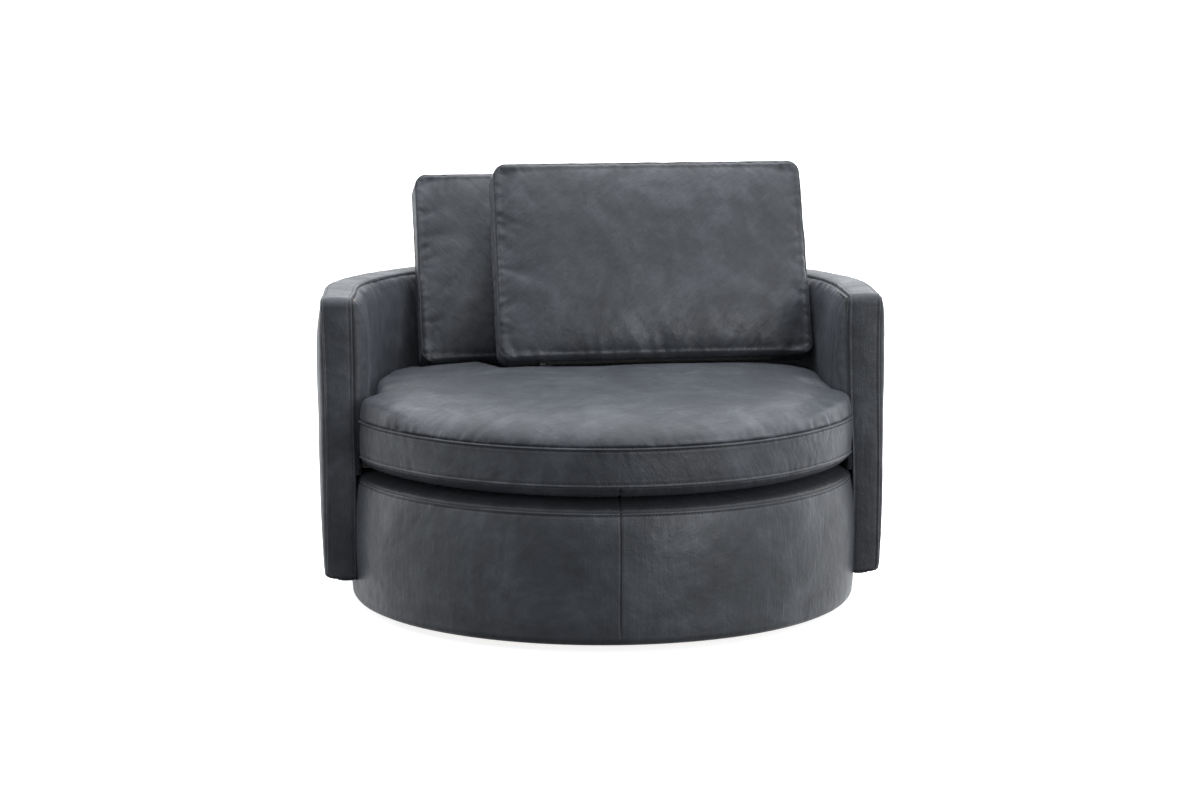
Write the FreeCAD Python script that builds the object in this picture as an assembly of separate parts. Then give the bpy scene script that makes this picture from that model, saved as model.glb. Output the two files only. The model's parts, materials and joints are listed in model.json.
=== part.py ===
import FreeCAD, Part
import math
import os

# Round swivel lounge chair: a round padded drum on a hidden turntable, a U-shaped padded shell that forms both
# arms and the back, one loose seat cushion and two loose back cushions.
# Frame: millimetres, +Z up, front of the chair towards -Y, origin on the floor on the swivel axis.

V = FreeCAD.Vector
os.makedirs("parts", exist_ok=True)

# ---------------------------------------------------------------- driving dimensions
# drum
drum_bottom_z = 14.0      # underside of the leather above the floor
drum_seam_z = 279.0       # top seam of the drum
drum_seam_r = 519.0
drum_max_r = 527.0
drum_low_r = 524.0
drum_board_r = 500.0      # outside of the bent board
frame_r = 497.0           # outside of the plywood discs
ring_inner_r = 430.0
board_t = 18.0            # plywood thickness
base_board_z = 36.0
deck_ring_z = 240.0
deck_z = 300.0            # top of the platform cloth
leather = 2.0
gap = 0.2                 # play between layers that are not glued

# shell (arms and back)
shell_half_w = 580.0      # outside half width, also the outside radius of the back
shell_yc = 60.0           # centre of the back's arc
arm_front_y = -120.0
shell_top_z = 654.0
shell_bottom_z = 71.0
strip_in = 75.0           # inner seam of the top strip, measured inwards from the outside
strip_out = 8.0           # outer seam of the top strip
bulge_in = 100.0          # inner padding at its fullest
rail_t0, rail_t1 = 15.0, 50.0

# seat cushion
seat_r = 514.0
seat_side = 472.0         # half width between the arms and radius of the rear arc
seat_bottom_z = 302.0
seat_seam_z = 326.0
seat_welt_z = 405.0
seat_crown = 70.0

# back cushions
cush_w, cush_h = 668.0, 427.0     # seam to seam
cush_tc, cush_te = 136.0, 64.0    # thickness in the middle and at the border
cush_turn = math.radians(5.5)
right_lean, left_lean = math.radians(20.0), math.radians(24.0)
right_face = V(118.5, 171, 695.5)   # centre of the right cushion's front seam rectangle
left_face = V(-45, 341, 666)        # and of the left one's, which stands behind it
pocket_gap = 7.0

# turntable
glide_h, glide_r = 4.0, 22.0
disc_r = 380.0
plate_t = 3.0
plate_half = 150.0
ball_r, ball_ring_r, ball_count = 5.0, 110.0, 24
ball_z = 29.0

Z = V(0, 0, 1)
BIG = 2000.0


# ---------------------------------------------------------------- helpers
def cyl(r, z0, z1, x=0.0, y=0.0):
    return Part.makeCylinder(r, z1 - z0, V(x, y, z0), Z)


def box(x0, x1, y0, y1, z0, z1):
    return Part.makeBox(x1 - x0, y1 - y0, z1 - z0, V(x0, y0, z0))


def ring(r0, r1, z0, z1):
    return cyl(r1, z0, z1).cut(cyl(r0, z0 - 1, z1 + 1))


def edge(points):
    """A line through two points, or a smooth curve through more."""
    if len(points) == 2:
        return Part.makeLine(points[0], points[1])
    if len(points) == 3:
        return Part.Arc(points[0], points[1], points[2]).toShape()
    c = Part.BSplineCurve()
    c.interpolate(points)
    return c.toShape()


def face_of(runs):
    """A face from runs of points; each run starts where the last one ends, and the last closes."""
    edges = [edge(r) for r in runs]
    return Part.Face(Part.Wire(edges))


def rz(runs):
    """Runs of (radius, height) pairs to a full turn about the swivel axis."""
    f = face_of([[V(r, 0, z) for r, z in run] for run in runs])
    return f.revolve(V(0, 0, 0), Z, 360)


def shell_sweep(runs, y_front):
    """Runs of (distance inwards, height) pairs carried along the U of the shell."""
    f = face_of([[V(shell_half_w - t, shell_yc, z) for t, z in run] for run in runs])
    arm = f.extrude(V(0, y_front - shell_yc, 0))
    back = f.revolve(V(0, shell_yc, 0), Z, 180)
    other = arm.mirror(V(0, 0, 0), V(1, 0, 0))
    return back.fuse([arm, other]).removeSplitter()


def u_band(t0, t1, z0, z1, y_front):
    return shell_sweep(
        [
            [(t0, z0), (t1, z0)],
            [(t1, z0), (t1, z1)],
            [(t1, z1), (t0, z1)],
            [(t0, z1), (t0, z0)],
        ],
        y_front,
    )


def u_prism(t, z0, z1, y_front):
    """The whole area inside the U at that distance from the outside, closed by a straight line at the front."""
    r = shell_half_w - t
    p = [V(-r, y_front, z0), V(-r, shell_yc, z0), V(0, shell_yc + r, z0), V(r, shell_yc, z0), V(r, y_front, z0)]
    w = Part.Wire(
        [
            Part.makeLine(p[0], p[1]),
            Part.Arc(p[1], p[2], p[3]).toShape(),
            Part.makeLine(p[3], p[4]),
            Part.makeLine(p[4], p[0]),
        ]
    )
    return Part.Face(w).extrude(V(0, 0, z1 - z0))


def radial_box(phi, s0, s1, width, z0, z1):
    """A box along the direction phi degrees round from the rear, clockwise seen from above."""
    b = box(-width / 2, width / 2, s0, s1, z0, z1)
    b.rotate(V(0, 0, 0), Z, -phi)
    return b


def radial_cyl(phi, s0, s1, r, z):
    c = Part.makeCylinder(r, s1 - s0, V(0, s0, z), V(0, 1, 0))
    c.rotate(V(0, 0, 0), Z, -phi)
    return c


def one(shape):
    """The shape as a single solid, or a compound of its solids."""
    s = shape.Solids
    return s[0] if len(s) == 1 else Part.makeCompound(s)


parts = {}


def keep(name, shape):
    shape = one(shape)
    parts[name] = shape
    shape.exportStep("parts/" + name + ".step")


def hexagon(af, z0, z1, x=0.0, y=0.0):
    r = af / math.sqrt(3)
    pts = [V(x + r * math.cos(math.radians(60 * i)), y + r * math.sin(math.radians(60 * i)), z0) for i in range(7)]
    return Part.Face(Part.makePolygon(pts)).extrude(V(0, 0, z1 - z0))


left_half = box(-BIG, 0, -BIG, BIG, -BIG, BIG)
right_half = box(0, BIG, -BIG, BIG, -BIG, BIG)

# ---------------------------------------------------------------- floor base and turntable
disc_z0 = glide_h
disc_z1 = disc_z0 + board_t
lower_z1 = disc_z1 + plate_t
upper_z0 = base_board_z - plate_t

spots = [(0.0, 0.0)] + [
    (350 * math.cos(math.radians(30 + 60 * i)), 350 * math.sin(math.radians(30 + 60 * i))) for i in range(6)
]
glides = []
for gx, gy in spots:
    g = cyl(glide_r, 0, glide_h, gx, gy)
    glides.append(g.makeChamfer(0.8, [e for e in g.Edges if abs(e.BoundBox.ZMax) < 0.01 and e.Closed]))
keep("floor_glides", Part.makeCompound(glides))

bolt = cyl(15, disc_z0 + 1, disc_z0 + 5).fuse(cyl(6, disc_z0 + 5, 72)).removeSplitter()
plate_screw_xy = [(sx * 125.0, sy * 125.0) for sx in (-1, 1) for sy in (-1, 1)]
lower_screws = [
    cyl(2.5, disc_z0 + 4, lower_z1, x, y).fuse(cyl(4.5, lower_z1, lower_z1 + 2.4, x, y)).removeSplitter()
    for x, y in plate_screw_xy
]
upper_screws = [
    cyl(2.5, upper_z0, upper_z0 + 16, x, y).fuse(cyl(4.5, upper_z0 - 2.4, upper_z0, x, y)).removeSplitter()
    for x, y in plate_screw_xy
]

disc = cyl(disc_r, disc_z0, disc_z1)
disc = disc.cut(cyl(16, disc_z0 - 1, disc_z0 + 5)).cut(cyl(6, disc_z0, disc_z1 + 1))
for x, y in plate_screw_xy:
    disc = disc.cut(cyl(2.5, disc_z0 + 4, disc_z1 + 1, x, y))
keep("floor_disc", disc)


def swivel_plate(z0, z1, bore):
    p = box(-plate_half, plate_half, -plate_half, plate_half, z0, z1)
    p = p.makeFillet(18, [e for e in p.Edges if e.BoundBox.ZLength > plate_t - 0.1 and e.BoundBox.XLength < 0.1])
    race = Part.makeTorus(ball_ring_r, ball_r + 0.3, V(0, 0, ball_z), Z)
    p = p.cut(race).cut(cyl(bore, z0 - 1, z1 + 1))
    for x, y in plate_screw_xy:
        p = p.cut(cyl(2.6, z0 - 1, z1 + 1, x, y))
    return p


keep("swivel_lower_plate", swivel_plate(disc_z1, lower_z1, 6.1))
keep("swivel_upper_plate", swivel_plate(upper_z0, base_board_z, 10.2))
keep("lower_plate_screws", Part.makeCompound(lower_screws))
keep("upper_plate_screws", Part.makeCompound(upper_screws))
keep("pivot_bolt", bolt)

ball_xy = [
    (
        ball_ring_r * math.cos(2 * math.pi * i / ball_count),
        ball_ring_r * math.sin(2 * math.pi * i / ball_count),
    )
    for i in range(ball_count)
]
keep("bearing_balls", Part.makeCompound([Part.makeSphere(ball_r, V(x, y, ball_z)) for x, y in ball_xy]))
cage = ring(98, 122, ball_z - 1, ball_z + 1)
for x, y in ball_xy:
    cage = cage.cut(cyl(ball_r + 0.1, ball_z - 2, ball_z + 2, x, y))
keep("ball_cage", cage)

board_top = base_board_z + board_t
bush = cyl(10, upper_z0, board_top).fuse(cyl(15, board_top, board_top + 3)).removeSplitter()
keep("pivot_bush", bush.cut(cyl(6.06, upper_z0 - 1, board_top + 4)))
nut = cyl(14, board_top + 3.3, board_top + 5.3).fuse(hexagon(19, board_top + 5.3, board_top + 15)).removeSplitter()
keep("pivot_locknut", nut.cut(cyl(6, board_top, board_top + 20)))

# ---------------------------------------------------------------- drum frame
base = cyl(frame_r, base_board_z, board_top).cut(cyl(10, base_board_z - 1, board_top + 1))
for x, y in plate_screw_xy:
    base = base.cut(cyl(2.5, base_board_z - 1, upper_z0 + 16, x, y))
keep("base_board", base)
keep("skirt_ring", ring(455, frame_r, base_board_z - board_t, base_board_z))
keep("dust_cover", ring(215, 452, base_board_z - 1.4, base_board_z - 0.4))

join_phi = [-88, -57, -25, 25, 57, 88]
front_phi = [-155, -125, 125, 155]
join_z = 160.0
screws = [
    radial_cyl(p, 436, 590, 4, join_z).fuse(radial_cyl(p, 430, 436, 9, join_z)).removeSplitter() for p in join_phi
]
shell_depth = u_band(rail_t0 + 8, 400, 0, 700, -100).fuse(cyl(470, 0, 700))
screws = [one(s.common(shell_depth)) for s in screws]
screw_tool = Part.makeCompound(screws)

post_ring = ring(440, frame_r, board_top, deck_ring_z)
posts = []
for p in join_phi + front_phi:
    b = radial_box(p, 400, 520, 60, board_top, deck_ring_z).common(post_ring)
    b = b.cut(radial_cyl(p, 430, 440, 10, join_z)) if p in join_phi else b
    posts.append(one(b.cut(screw_tool)))
keep("drum_posts", Part.makeCompound(posts))

deck = ring(ring_inner_r, frame_r, deck_ring_z, deck_ring_z + board_t)
wide = u_prism(rail_t1, deck_ring_z, deck_ring_z + board_t, -56).cut(
    cyl(ring_inner_r, deck_ring_z - 1, deck_ring_z + board_t + 1)
)
deck = deck.fuse(wide).removeSplitter()
keep("deck_ring", deck)

# zigzag springs, front to back, each as long as the ring is wide there
wire_r = 1.9
spring_z = deck_ring_z + board_t + 5
pitch = 30.0


def zigzag(x, half):
    n = int(2 * half / pitch)
    y = -n * pitch / 2
    reach = 25.0 - pitch / 2
    edges, side = [], 1
    for i in range(n + 1):
        edges.append(Part.makeLine(V(x - side * reach, y, spring_z), V(x + side * reach, y, spring_z)))
        if i < n:
            cx = x + side * reach
            edges.append(
                Part.Arc(
                    V(cx, y, spring_z),
                    V(cx + side * pitch / 2, y + pitch / 2, spring_z),
                    V(cx, y + pitch, spring_z),
                ).toShape()
            )
        y += pitch
        side = -side
    path = Part.Wire(edges)
    start = V(x - reach, -n * pitch / 2, spring_z)
    prof = Part.Wire([Part.makeCircle(wire_r, start, V(1, 0, 0))])
    return path.makePipeShell([prof], True, False), n * pitch / 2


springs, clips = [], []
for x in (-300, -180, -60, 60, 180, 300):
    half = math.sqrt(ring_inner_r**2 - x**2) + 16
    s, reach_y = zigzag(x, half)
    springs.append(s)
    for sy in (-1, 1):
        c = box(x - 9, x + 9, sy * reach_y - 6, sy * reach_y + 6, deck_ring_z + board_t, spring_z + 4)
        clips.append(c.cut(Part.makeCylinder(wire_r + 0.1, 40, V(x - 20, sy * reach_y, spring_z), V(1, 0, 0))))
keep("seat_springs", Part.makeCompound(springs))
keep("spring_clips", Part.makeCompound(clips))

# ---------------------------------------------------------------- drum padding and leather
behind = box(-BIG, BIG, -60, BIG, 100, BIG)
keep("drum_board", ring(frame_r, drum_board_r, base_board_z - board_t, deck_ring_z + board_t).cut(behind))
foam = rz(
    [
        [(drum_board_r + gap, 19), (508, 20)],
        [(508, 20), (516, 25.5), (520.8, 38)],
        [(520.8, 38), (524.5, 170), (516.3, 277)],
        [(516.3, 277), (500, 283)],
        [(500, 283), (500 - 2, 283)],
        [(498, 283), (498, 258 + gap)],
        [(498, 258 + gap), (drum_board_r + gap, 258 + gap)],
        [(drum_board_r + gap, 258 + gap), (drum_board_r + gap, 19)],
    ]
)
foam = foam.cut(behind)
keep("drum_foam", foam)
cover = rz(
    [
        [(470, drum_bottom_z), (500, drum_bottom_z)],
        [(500, drum_bottom_z), (517.5, 19), (drum_low_r, 34)],
        [(drum_low_r, 34), (drum_max_r, 170), (drum_seam_r, drum_seam_z)],
        [(drum_seam_r, drum_seam_z), (drum_seam_r - leather, drum_seam_z)],
        [(drum_seam_r - leather, drum_seam_z), (drum_max_r - leather, 170), (drum_low_r - leather, 35)],
        [(drum_low_r - leather, 35), (516, 20.8), (500, drum_bottom_z + leather)],
        [(500, drum_bottom_z + leather), (470, drum_bottom_z + leather)],
        [(470, drum_bottom_z + leather), (470, drum_bottom_z)],
    ]
).cut(behind)
keep("drum_cover_left", cover.common(left_half))
keep("drum_cover_right", cover.common(right_half))

rear = box(-BIG, BIG, arm_front_y + 20, BIG, -BIG, BIG)
border = rz(
    [
        [(drum_seam_r - 0.5, drum_seam_z + 0.3), (drum_seam_r - 1, drum_seam_z + 2.3)],
        [(drum_seam_r - 1, drum_seam_z + 2.3), (500, 288), (450, deck_z)],
        [(450, deck_z), (400, deck_z)],
        [(400, deck_z), (400, deck_z - leather)],
        [(400, deck_z - leather), (450, deck_z - leather)],
        [(450, deck_z - leather), (499.5, 286), (drum_seam_r - 3, drum_seam_z + 0.3)],
        [(drum_seam_r - 3, drum_seam_z + 0.3), (drum_seam_r - 0.5, drum_seam_z + 0.3)],
    ]
).cut(rear)
keep("deck_border_left", border.common(left_half))
keep("deck_border_right", border.common(right_half))

pad_z0 = spring_z + 5
front_pad = rz(
    [
        [(0, pad_z0), (frame_r, pad_z0)],
        [(frame_r, pad_z0), (frame_r, 285)],
        [(frame_r, 285), (450, deck_z - leather - gap)],
        [(450, deck_z - leather - gap), (0, deck_z - leather - gap)],
        [(0, deck_z - leather - gap), (0, pad_z0)],
    ]
).cut(rear)
rear_pad = u_prism(84.6, pad_z0, deck_z - leather - gap, arm_front_y + 20)
keep("deck_pad", front_pad.fuse(rear_pad).removeSplitter().cut(foam))
cloth = cyl(400, deck_z - leather, deck_z).cut(rear)
rear_cloth = u_prism(100.6, deck_z - leather, deck_z, arm_front_y + 20)
keep("deck_cloth", cloth.fuse(rear_cloth).removeSplitter())

# ---------------------------------------------------------------- shell frame
drum_space = cyl(528.6, 0, 286)
rail_front = arm_front_y + 22
keep("shell_bottom_rail", u_band(rail_t0, rail_t1, 75, 75 + board_t, rail_front).cut(drum_space))
keep("shell_top_rail", u_band(rail_t0, rail_t1, 610, 628, rail_front))

post_band = u_band(rail_t0, rail_t1, 93, 610, rail_front)
shell_posts = []
for p in [0] + join_phi:
    b = radial_box(p, 500, 700, 45, 93, 610).common(post_band)
    shell_posts.append(one(b.cut(screw_tool)))
keep("shell_posts", Part.makeCompound(shell_posts))
front_posts = []
for s in (-1, 1):
    x0, x1 = sorted((s * (shell_half_w - rail_t1), s * (shell_half_w - rail_t0)))
    front_posts.append(box(x0, x1, rail_front, rail_front + 45, 93, 610))
keep("arm_front_posts", Part.makeCompound(front_posts))

inside_shell = u_prism(rail_t1, join_z - 40, join_z + 40, -200)
blocks = []
for p in join_phi:
    b = radial_box(p, 450, 640, 60, join_z - 30, join_z + 30).cut(cyl(frame_r, 0, 400)).common(inside_shell)
    blocks.append(one(b.cut(screw_tool)))
keep("joining_blocks", Part.makeCompound(blocks))
keep("joining_screws", screw_tool)

keep("shell_outer_board", u_band(12, rail_t0, 75, 628, rail_front))
keep("shell_inner_board", u_band(rail_t1, rail_t1 + 3, 286.4, 628, rail_front))
facing = []
for s in (-1, 1):
    x0, x1 = sorted((s * (shell_half_w - 70), s * (shell_half_w - 12)))
    facing.append(box(x0, x1, rail_front - 9, rail_front, 75, 645).cut(drum_space))
keep("arm_facing_boards", Part.makeCompound(facing))

# ---------------------------------------------------------------- shell padding and leather
inner_line = [(73, 646), (90, 622), (97.5, 585), (bulge_in, 535), (99, 460), (93.5, 370), (84, 300)]


def shifted(points, dt):
    return [(t + dt, z) for t, z in points]


inner_foam = shell_sweep(
    [
        [(53 + gap, 286.4), (84 - leather - gap, 286.4)],
        [(84 - leather - gap, 286.4), (84 - leather - gap, 300)],
        list(reversed(shifted(inner_line, -leather - gap))),
        [(73 - leather - gap, 646), (53 + gap, 646)],
        [(53 + gap, 646), (53 + gap, 286.4)],
    ],
    arm_front_y + leather + gap,
)
front_zone = box(shell_half_w - 72.4, shell_half_w, arm_front_y, rail_front, 200, 700)
front_zone = front_zone.fuse(front_zone.mirror(V(0, 0, 0), V(1, 0, 0)))
keep("shell_inner_foam", inner_foam.cut(front_zone))
inner_cover = shell_sweep(
    [
        [(84 - leather, 287), (84, 287)],
        [(84, 287), (84, 300)],
        list(reversed(inner_line)),
        [(73, 646), (73 - leather, 646)],
        shifted(inner_line, -leather),
        [(84 - leather, 300), (84 - leather, 287)],
    ],
    arm_front_y + leather + gap,
)
keep("shell_inner_cover", inner_cover)

keep(
    "shell_outer_wadding",
    shell_sweep(
        [
            [(8.4, 76), (12 - gap, 76)],
            [(12 - gap, 76), (12 - gap, 645)],
            [(12 - gap, 645), (10.3, 645)],
            [(10.3, 645), (leather + 0.3, 380), (8.4, 76)],
        ],
        rail_front,
    ),
)
outer_cover = shell_sweep(
    [
        [(34, shell_bottom_z), (11, shell_bottom_z)],
        [(11, shell_bottom_z), (7.5, 72.6), (6, 76)],
        [(6, 76), (0, 380), (strip_out, 645.6)],
        [(strip_out, 645.6), (strip_out + leather, 645.6)],
        [(strip_out + leather, 645.6), (leather, 380), (6 + leather, 76.4)],
        [(6 + leather, 76.4), (9.0, 74), (11.2, shell_bottom_z + leather)],
        [(11.2, shell_bottom_z + leather), (34, shell_bottom_z + leather)],
        [(34, shell_bottom_z + leather), (34, shell_bottom_z)],
    ],
    arm_front_y + leather + gap,
).cut(drum_space)
keep("shell_outer_cover_left", outer_cover.common(left_half))
keep("shell_outer_cover_right", outer_cover.common(right_half))

keep(
    "shell_top_foam",
    shell_sweep(
        [
            [(12, 628 + gap), (53, 628 + gap)],
            [(53, 628 + gap), (53, 651)],
            [(53, 651), (34, 651.4), (12, 646.4)],
            [(12, 646.4), (12, 628 + gap)],
        ],
        rail_front,
    ),
)
strip = shell_sweep(
    [
        [(strip_out, 646.4), (strip_out, 648)],
        [(strip_out, 648), (41, shell_top_z), (strip_in, 648.4)],
        [(strip_in, 648.4), (strip_in, 646.4)],
        [(strip_in, 646.4), (41, shell_top_z - leather), (strip_out, 646.4)],
    ],
    arm_front_y,
)
front_foams = []
for s in (-1, 1):
    x0, x1 = sorted((s * (shell_half_w - strip_in), s * (shell_half_w - strip_out)))
    strip = strip.fuse(
        box(x0, x1, arm_front_y, arm_front_y + leather, shell_bottom_z, 647.2).cut(drum_space)
    )
    x0, x1 = sorted((s * (shell_half_w - 72), s * (shell_half_w - 10.6)))
    front_foams.append(
        box(x0, x1, arm_front_y + leather + gap, rail_front - 9, shell_bottom_z + 3, 645.4)
        .cut(drum_space)
        .cut(inner_cover)
        .cut(outer_cover)
    )
strip = strip.removeSplitter()
keep("arm_front_foams", Part.makeCompound([one(f) for f in front_foams]))
keep("shell_strip_left", strip.common(left_half))
keep("shell_strip_right", strip.common(right_half))
keep("shell_bottom_cloth", u_prism(14, shell_bottom_z - 1.2, shell_bottom_z - 0.2, rail_front).cut(cyl(528.6, 0, 200)))

# ---------------------------------------------------------------- back cushions
sa, ca = math.sin(cush_turn), math.cos(cush_turn)
along = V(ca, sa, 0)                          # along the cushion's width


def cushion_axes(lean):
    """Up along the cushion's height, leaning back, and through its thickness, away from the sitter."""
    sb, cb = math.sin(lean), math.cos(lean)
    return V(-sb * sa, sb * ca, cb), V(-cb * sa, cb * ca, -sb)


def seat_on(shape, place):
    """A shape made in the cushion's own axes, put where the cushion is."""
    centre, lean = place
    up, back = cushion_axes(lean)
    m = FreeCAD.Matrix(
        along.x, back.x, up.x, centre.x,
        along.y, back.y, up.y, centre.y,
        along.z, back.z, up.z, centre.z,
        0, 0, 0, 1,
    )
    s = shape.copy()
    s.transformShape(m)
    return s


def pillow(w, h, tc, te, corner):
    b = Part.makeBox(w, tc, h, V(-w / 2, -tc / 2, -h / 2))
    b = b.makeFillet(corner, [e for e in b.Edges if e.BoundBox.YLength > tc - 0.1 and e.BoundBox.XLength < 0.1])
    sag = (tc - te) / 2
    rw = ((w / 2) ** 2 + sag**2) / (2 * sag)
    rh = ((h / 2) ** 2 + sag**2) / (2 * sag)
    for s in (-1, 1):
        b = b.common(Part.makeCylinder(rw, 2 * h, V(0, s * (tc / 2 - rw), -h), V(0, 0, 1)))
        b = b.common(Part.makeCylinder(rh, 2 * w, V(-w, s * (tc / 2 - rh), 0), V(1, 0, 0)))
    return one(b)


right_c = (right_face + cushion_axes(right_lean)[1] * (cush_te / 2), right_lean)
left_c = (left_face + cushion_axes(left_lean)[1] * (cush_te / 2), left_lean)
outer_pillow = pillow(cush_w, cush_h, cush_tc, cush_te, 42)
hollow_pillow = pillow(cush_w - 4, cush_h - 4, cush_tc - 4, cush_te - 4, 40)
filling = pillow(cush_w - 4.6, cush_h - 4.6, cush_tc - 4.6, cush_te - 4.6, 39.7)
zip_half = 250.0
for side, c in (("right", right_c), ("left", left_c)):
    keep("back_cushion_cover_" + side, seat_on(outer_pillow.cut(hollow_pillow), c))
    keep("back_cushion_filling_" + side, seat_on(filling, c))
    low = -cush_h / 2
    tape = box(-zip_half, zip_half, -12, 12, low - 1.2, low - 0.1)
    keep("back_cushion_zip_" + side, seat_on(tape, c))
    tab = box(-zip_half, -zip_half + 12, -4.5, 4.5, low - 4.6, low - 1.5)
    tab = tab.fuse(box(-zip_half + 1, -zip_half + 26, -2.5, 2.5, low - 5.6, low - 4.6)).removeSplitter()
    keep("back_cushion_slider_" + side, seat_on(tab, c))

# ---------------------------------------------------------------- seat cushion
def seat_plan(off, z0, z1):
    """The cushion from above, a circle in front of the arms and a U between them, off inside its outline."""
    r, s = seat_r - off, seat_side - off
    y1 = -150.0
    x1 = math.sqrt(r**2 - y1**2)
    y2 = arm_front_y + 2.0
    p = [V(-x1, y1, z0), V(0, -r, z0), V(x1, y1, z0), V(s, y2, z0), V(s, shell_yc, z0), V(0, shell_yc + s, z0)]
    q = [V(-s, shell_yc, z0), V(-s, y2, z0)]
    w = Part.Wire(
        [
            Part.Arc(p[0], p[1], p[2]).toShape(),
            Part.makeLine(p[2], p[3]),
            Part.makeLine(p[3], p[4]),
            Part.Arc(p[4], p[5], q[0]).toShape(),
            Part.makeLine(q[0], q[1]),
            Part.makeLine(q[1], p[0]),
        ]
    )
    return Part.Face(w).extrude(V(0, 0, z1 - z0))


def seat_solid(off):
    r = 560.0
    dome = []
    for k in (0, 0.2, 0.4, 0.55, 0.7, 0.8, 0.88, 0.94, 0.98, 1.0):
        dome.append((k * (seat_r - off), seat_welt_z - off * 0.5 + (seat_crown - off * 0.5) * (1 - k**4) ** 0.5))
    # the lower panel curves in under the border and rests flat on the deck
    runs = [
        [(0, seat_bottom_z + off), (450, seat_bottom_z + off)],
        [(450, seat_bottom_z + off), (498, seat_bottom_z + 8 + off), (seat_r - off, seat_seam_z)],
        [(seat_r - off, seat_seam_z), (seat_r + 1 - off, seat_seam_z + 1)],
        [(seat_r + 1 - off, seat_seam_z + 1), (seat_r + 1 - off, seat_welt_z - 2)],
        [(seat_r + 1 - off, seat_welt_z - 2), dome[-1]],
        list(reversed(dome)),
        [dome[0], (0, seat_bottom_z + off)],
    ]
    body = rz(runs).common(seat_plan(off, seat_bottom_z - 5, 600))
    # between the arms the edge of the crown is as round as it is in front
    for c in (right_c, left_c):
        b = Part.makeBox(
            1400, 700, 900, V(-700, -cush_te / 2 - 2 - off, -cush_h / 2 - pocket_gap - off)
        )
        body = body.cut(seat_on(b, c))
    return one(body)


seat_out, seat_in = seat_solid(0), seat_solid(leather)
skin = seat_out.cut(seat_in)
keep("seat_top_panel", skin.common(box(-BIG, BIG, -BIG, BIG, seat_welt_z, 700)))
keep("seat_border", skin.common(box(-BIG, BIG, -BIG, BIG, seat_seam_z, seat_welt_z)))
keep("seat_bottom_panel", skin.common(box(-BIG, BIG, -BIG, BIG, 200, seat_seam_z)))
keep("seat_core", seat_solid(leather + gap))
welt = Part.makeTorus(seat_r + 3.7, 3.0, V(0, 0, seat_welt_z), Z)
keep("seat_welt", welt.common(box(-BIG, BIG, -BIG, -152, 0, 700)))

zc = V(0, shell_yc, 0)
zip_band = cyl(seat_side + 1.3, 350, 374, 0, shell_yc).cut(cyl(seat_side + 0.1, 349, 375, 0, shell_yc))
wedge = Part.Face(
    Part.makePolygon([V(0, shell_yc, 340), V(-700, shell_yc + 587, 340), V(700, shell_yc + 587, 340), V(0, shell_yc, 340)])
).extrude(V(0, 0, 50))
keep("seat_zip", zip_band.common(wedge))
slider = cyl(seat_side + 4.6, 357, 367, 0, shell_yc).cut(cyl(seat_side + 1.6, 356, 368, 0, shell_yc))
slider = slider.common(box(-7, 7, 400, 700, 300, 400))
slider.rotate(zc, Z, 47)
keep("seat_zip_slider", slider)

for name in sorted(parts):
    s = parts[name]
    bb = s.BoundBox
    print(
        "%-28s %3d solids %10.1f cm3  x %7.1f %7.1f  y %7.1f %7.1f  z %6.1f %6.1f %s"
        % (name, len(s.Solids), s.Volume / 1000, bb.XMin, bb.XMax, bb.YMin, bb.YMax, bb.ZMin, bb.ZMax,
           "" if s.isValid() else "INVALID")
    )
print(len(parts), "parts")
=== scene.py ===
import json
import math

import bpy
import numpy as np
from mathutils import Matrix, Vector
from mathutils.bvhtree import BVHTree


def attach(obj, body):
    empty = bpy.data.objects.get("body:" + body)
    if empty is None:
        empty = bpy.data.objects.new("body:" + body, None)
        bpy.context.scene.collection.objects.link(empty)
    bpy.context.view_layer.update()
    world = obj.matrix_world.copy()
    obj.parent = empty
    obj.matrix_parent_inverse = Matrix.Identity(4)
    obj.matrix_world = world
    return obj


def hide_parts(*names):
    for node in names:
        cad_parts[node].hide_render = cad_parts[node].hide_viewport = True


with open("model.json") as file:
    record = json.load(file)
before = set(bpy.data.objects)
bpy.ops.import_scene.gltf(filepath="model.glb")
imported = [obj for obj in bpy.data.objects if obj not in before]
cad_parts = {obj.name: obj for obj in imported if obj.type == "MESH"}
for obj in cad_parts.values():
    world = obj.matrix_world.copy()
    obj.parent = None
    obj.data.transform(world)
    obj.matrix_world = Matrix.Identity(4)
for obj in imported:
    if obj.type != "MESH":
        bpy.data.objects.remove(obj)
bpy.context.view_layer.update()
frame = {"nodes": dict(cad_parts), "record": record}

# A round swivel lounge chair in slate leather. Everything is worked out in millimetres in the frame of the CAD model
# (+Z up, front towards -Y) and written to the meshes in metres.

# ------------------------------------------------------------------ dimensions, as in the CAD source
HALF_W, YC = 580.0, 60.0          # shell: outside half width and the centre of the back's arc
TOP_Z, BOTTOM_Z = 648.0, 71.0
FRONT_Y = -117.5
ARM_SHIFT = -4.5                  # both arm fronts lean a little to the viewer's left
SEAT_R, SEAT_SIDE = 514.0, 472.0
WELT_Z, LOW_SEAM_Z, SEAT_LOW_Z = 405.0, 326.0, 302.0
CROWN = 70.0
CUSH_W, CUSH_H, CUSH_TE = 668.0, 427.0, 64.0
TURN = math.radians(5.5)


# ------------------------------------------------------------------ small tools
def smooth(x, a, b):
    q = np.clip((np.asarray(x, float) - a) / (b - a), 0, 1)
    return q * q * (3 - 2 * q)


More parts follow.
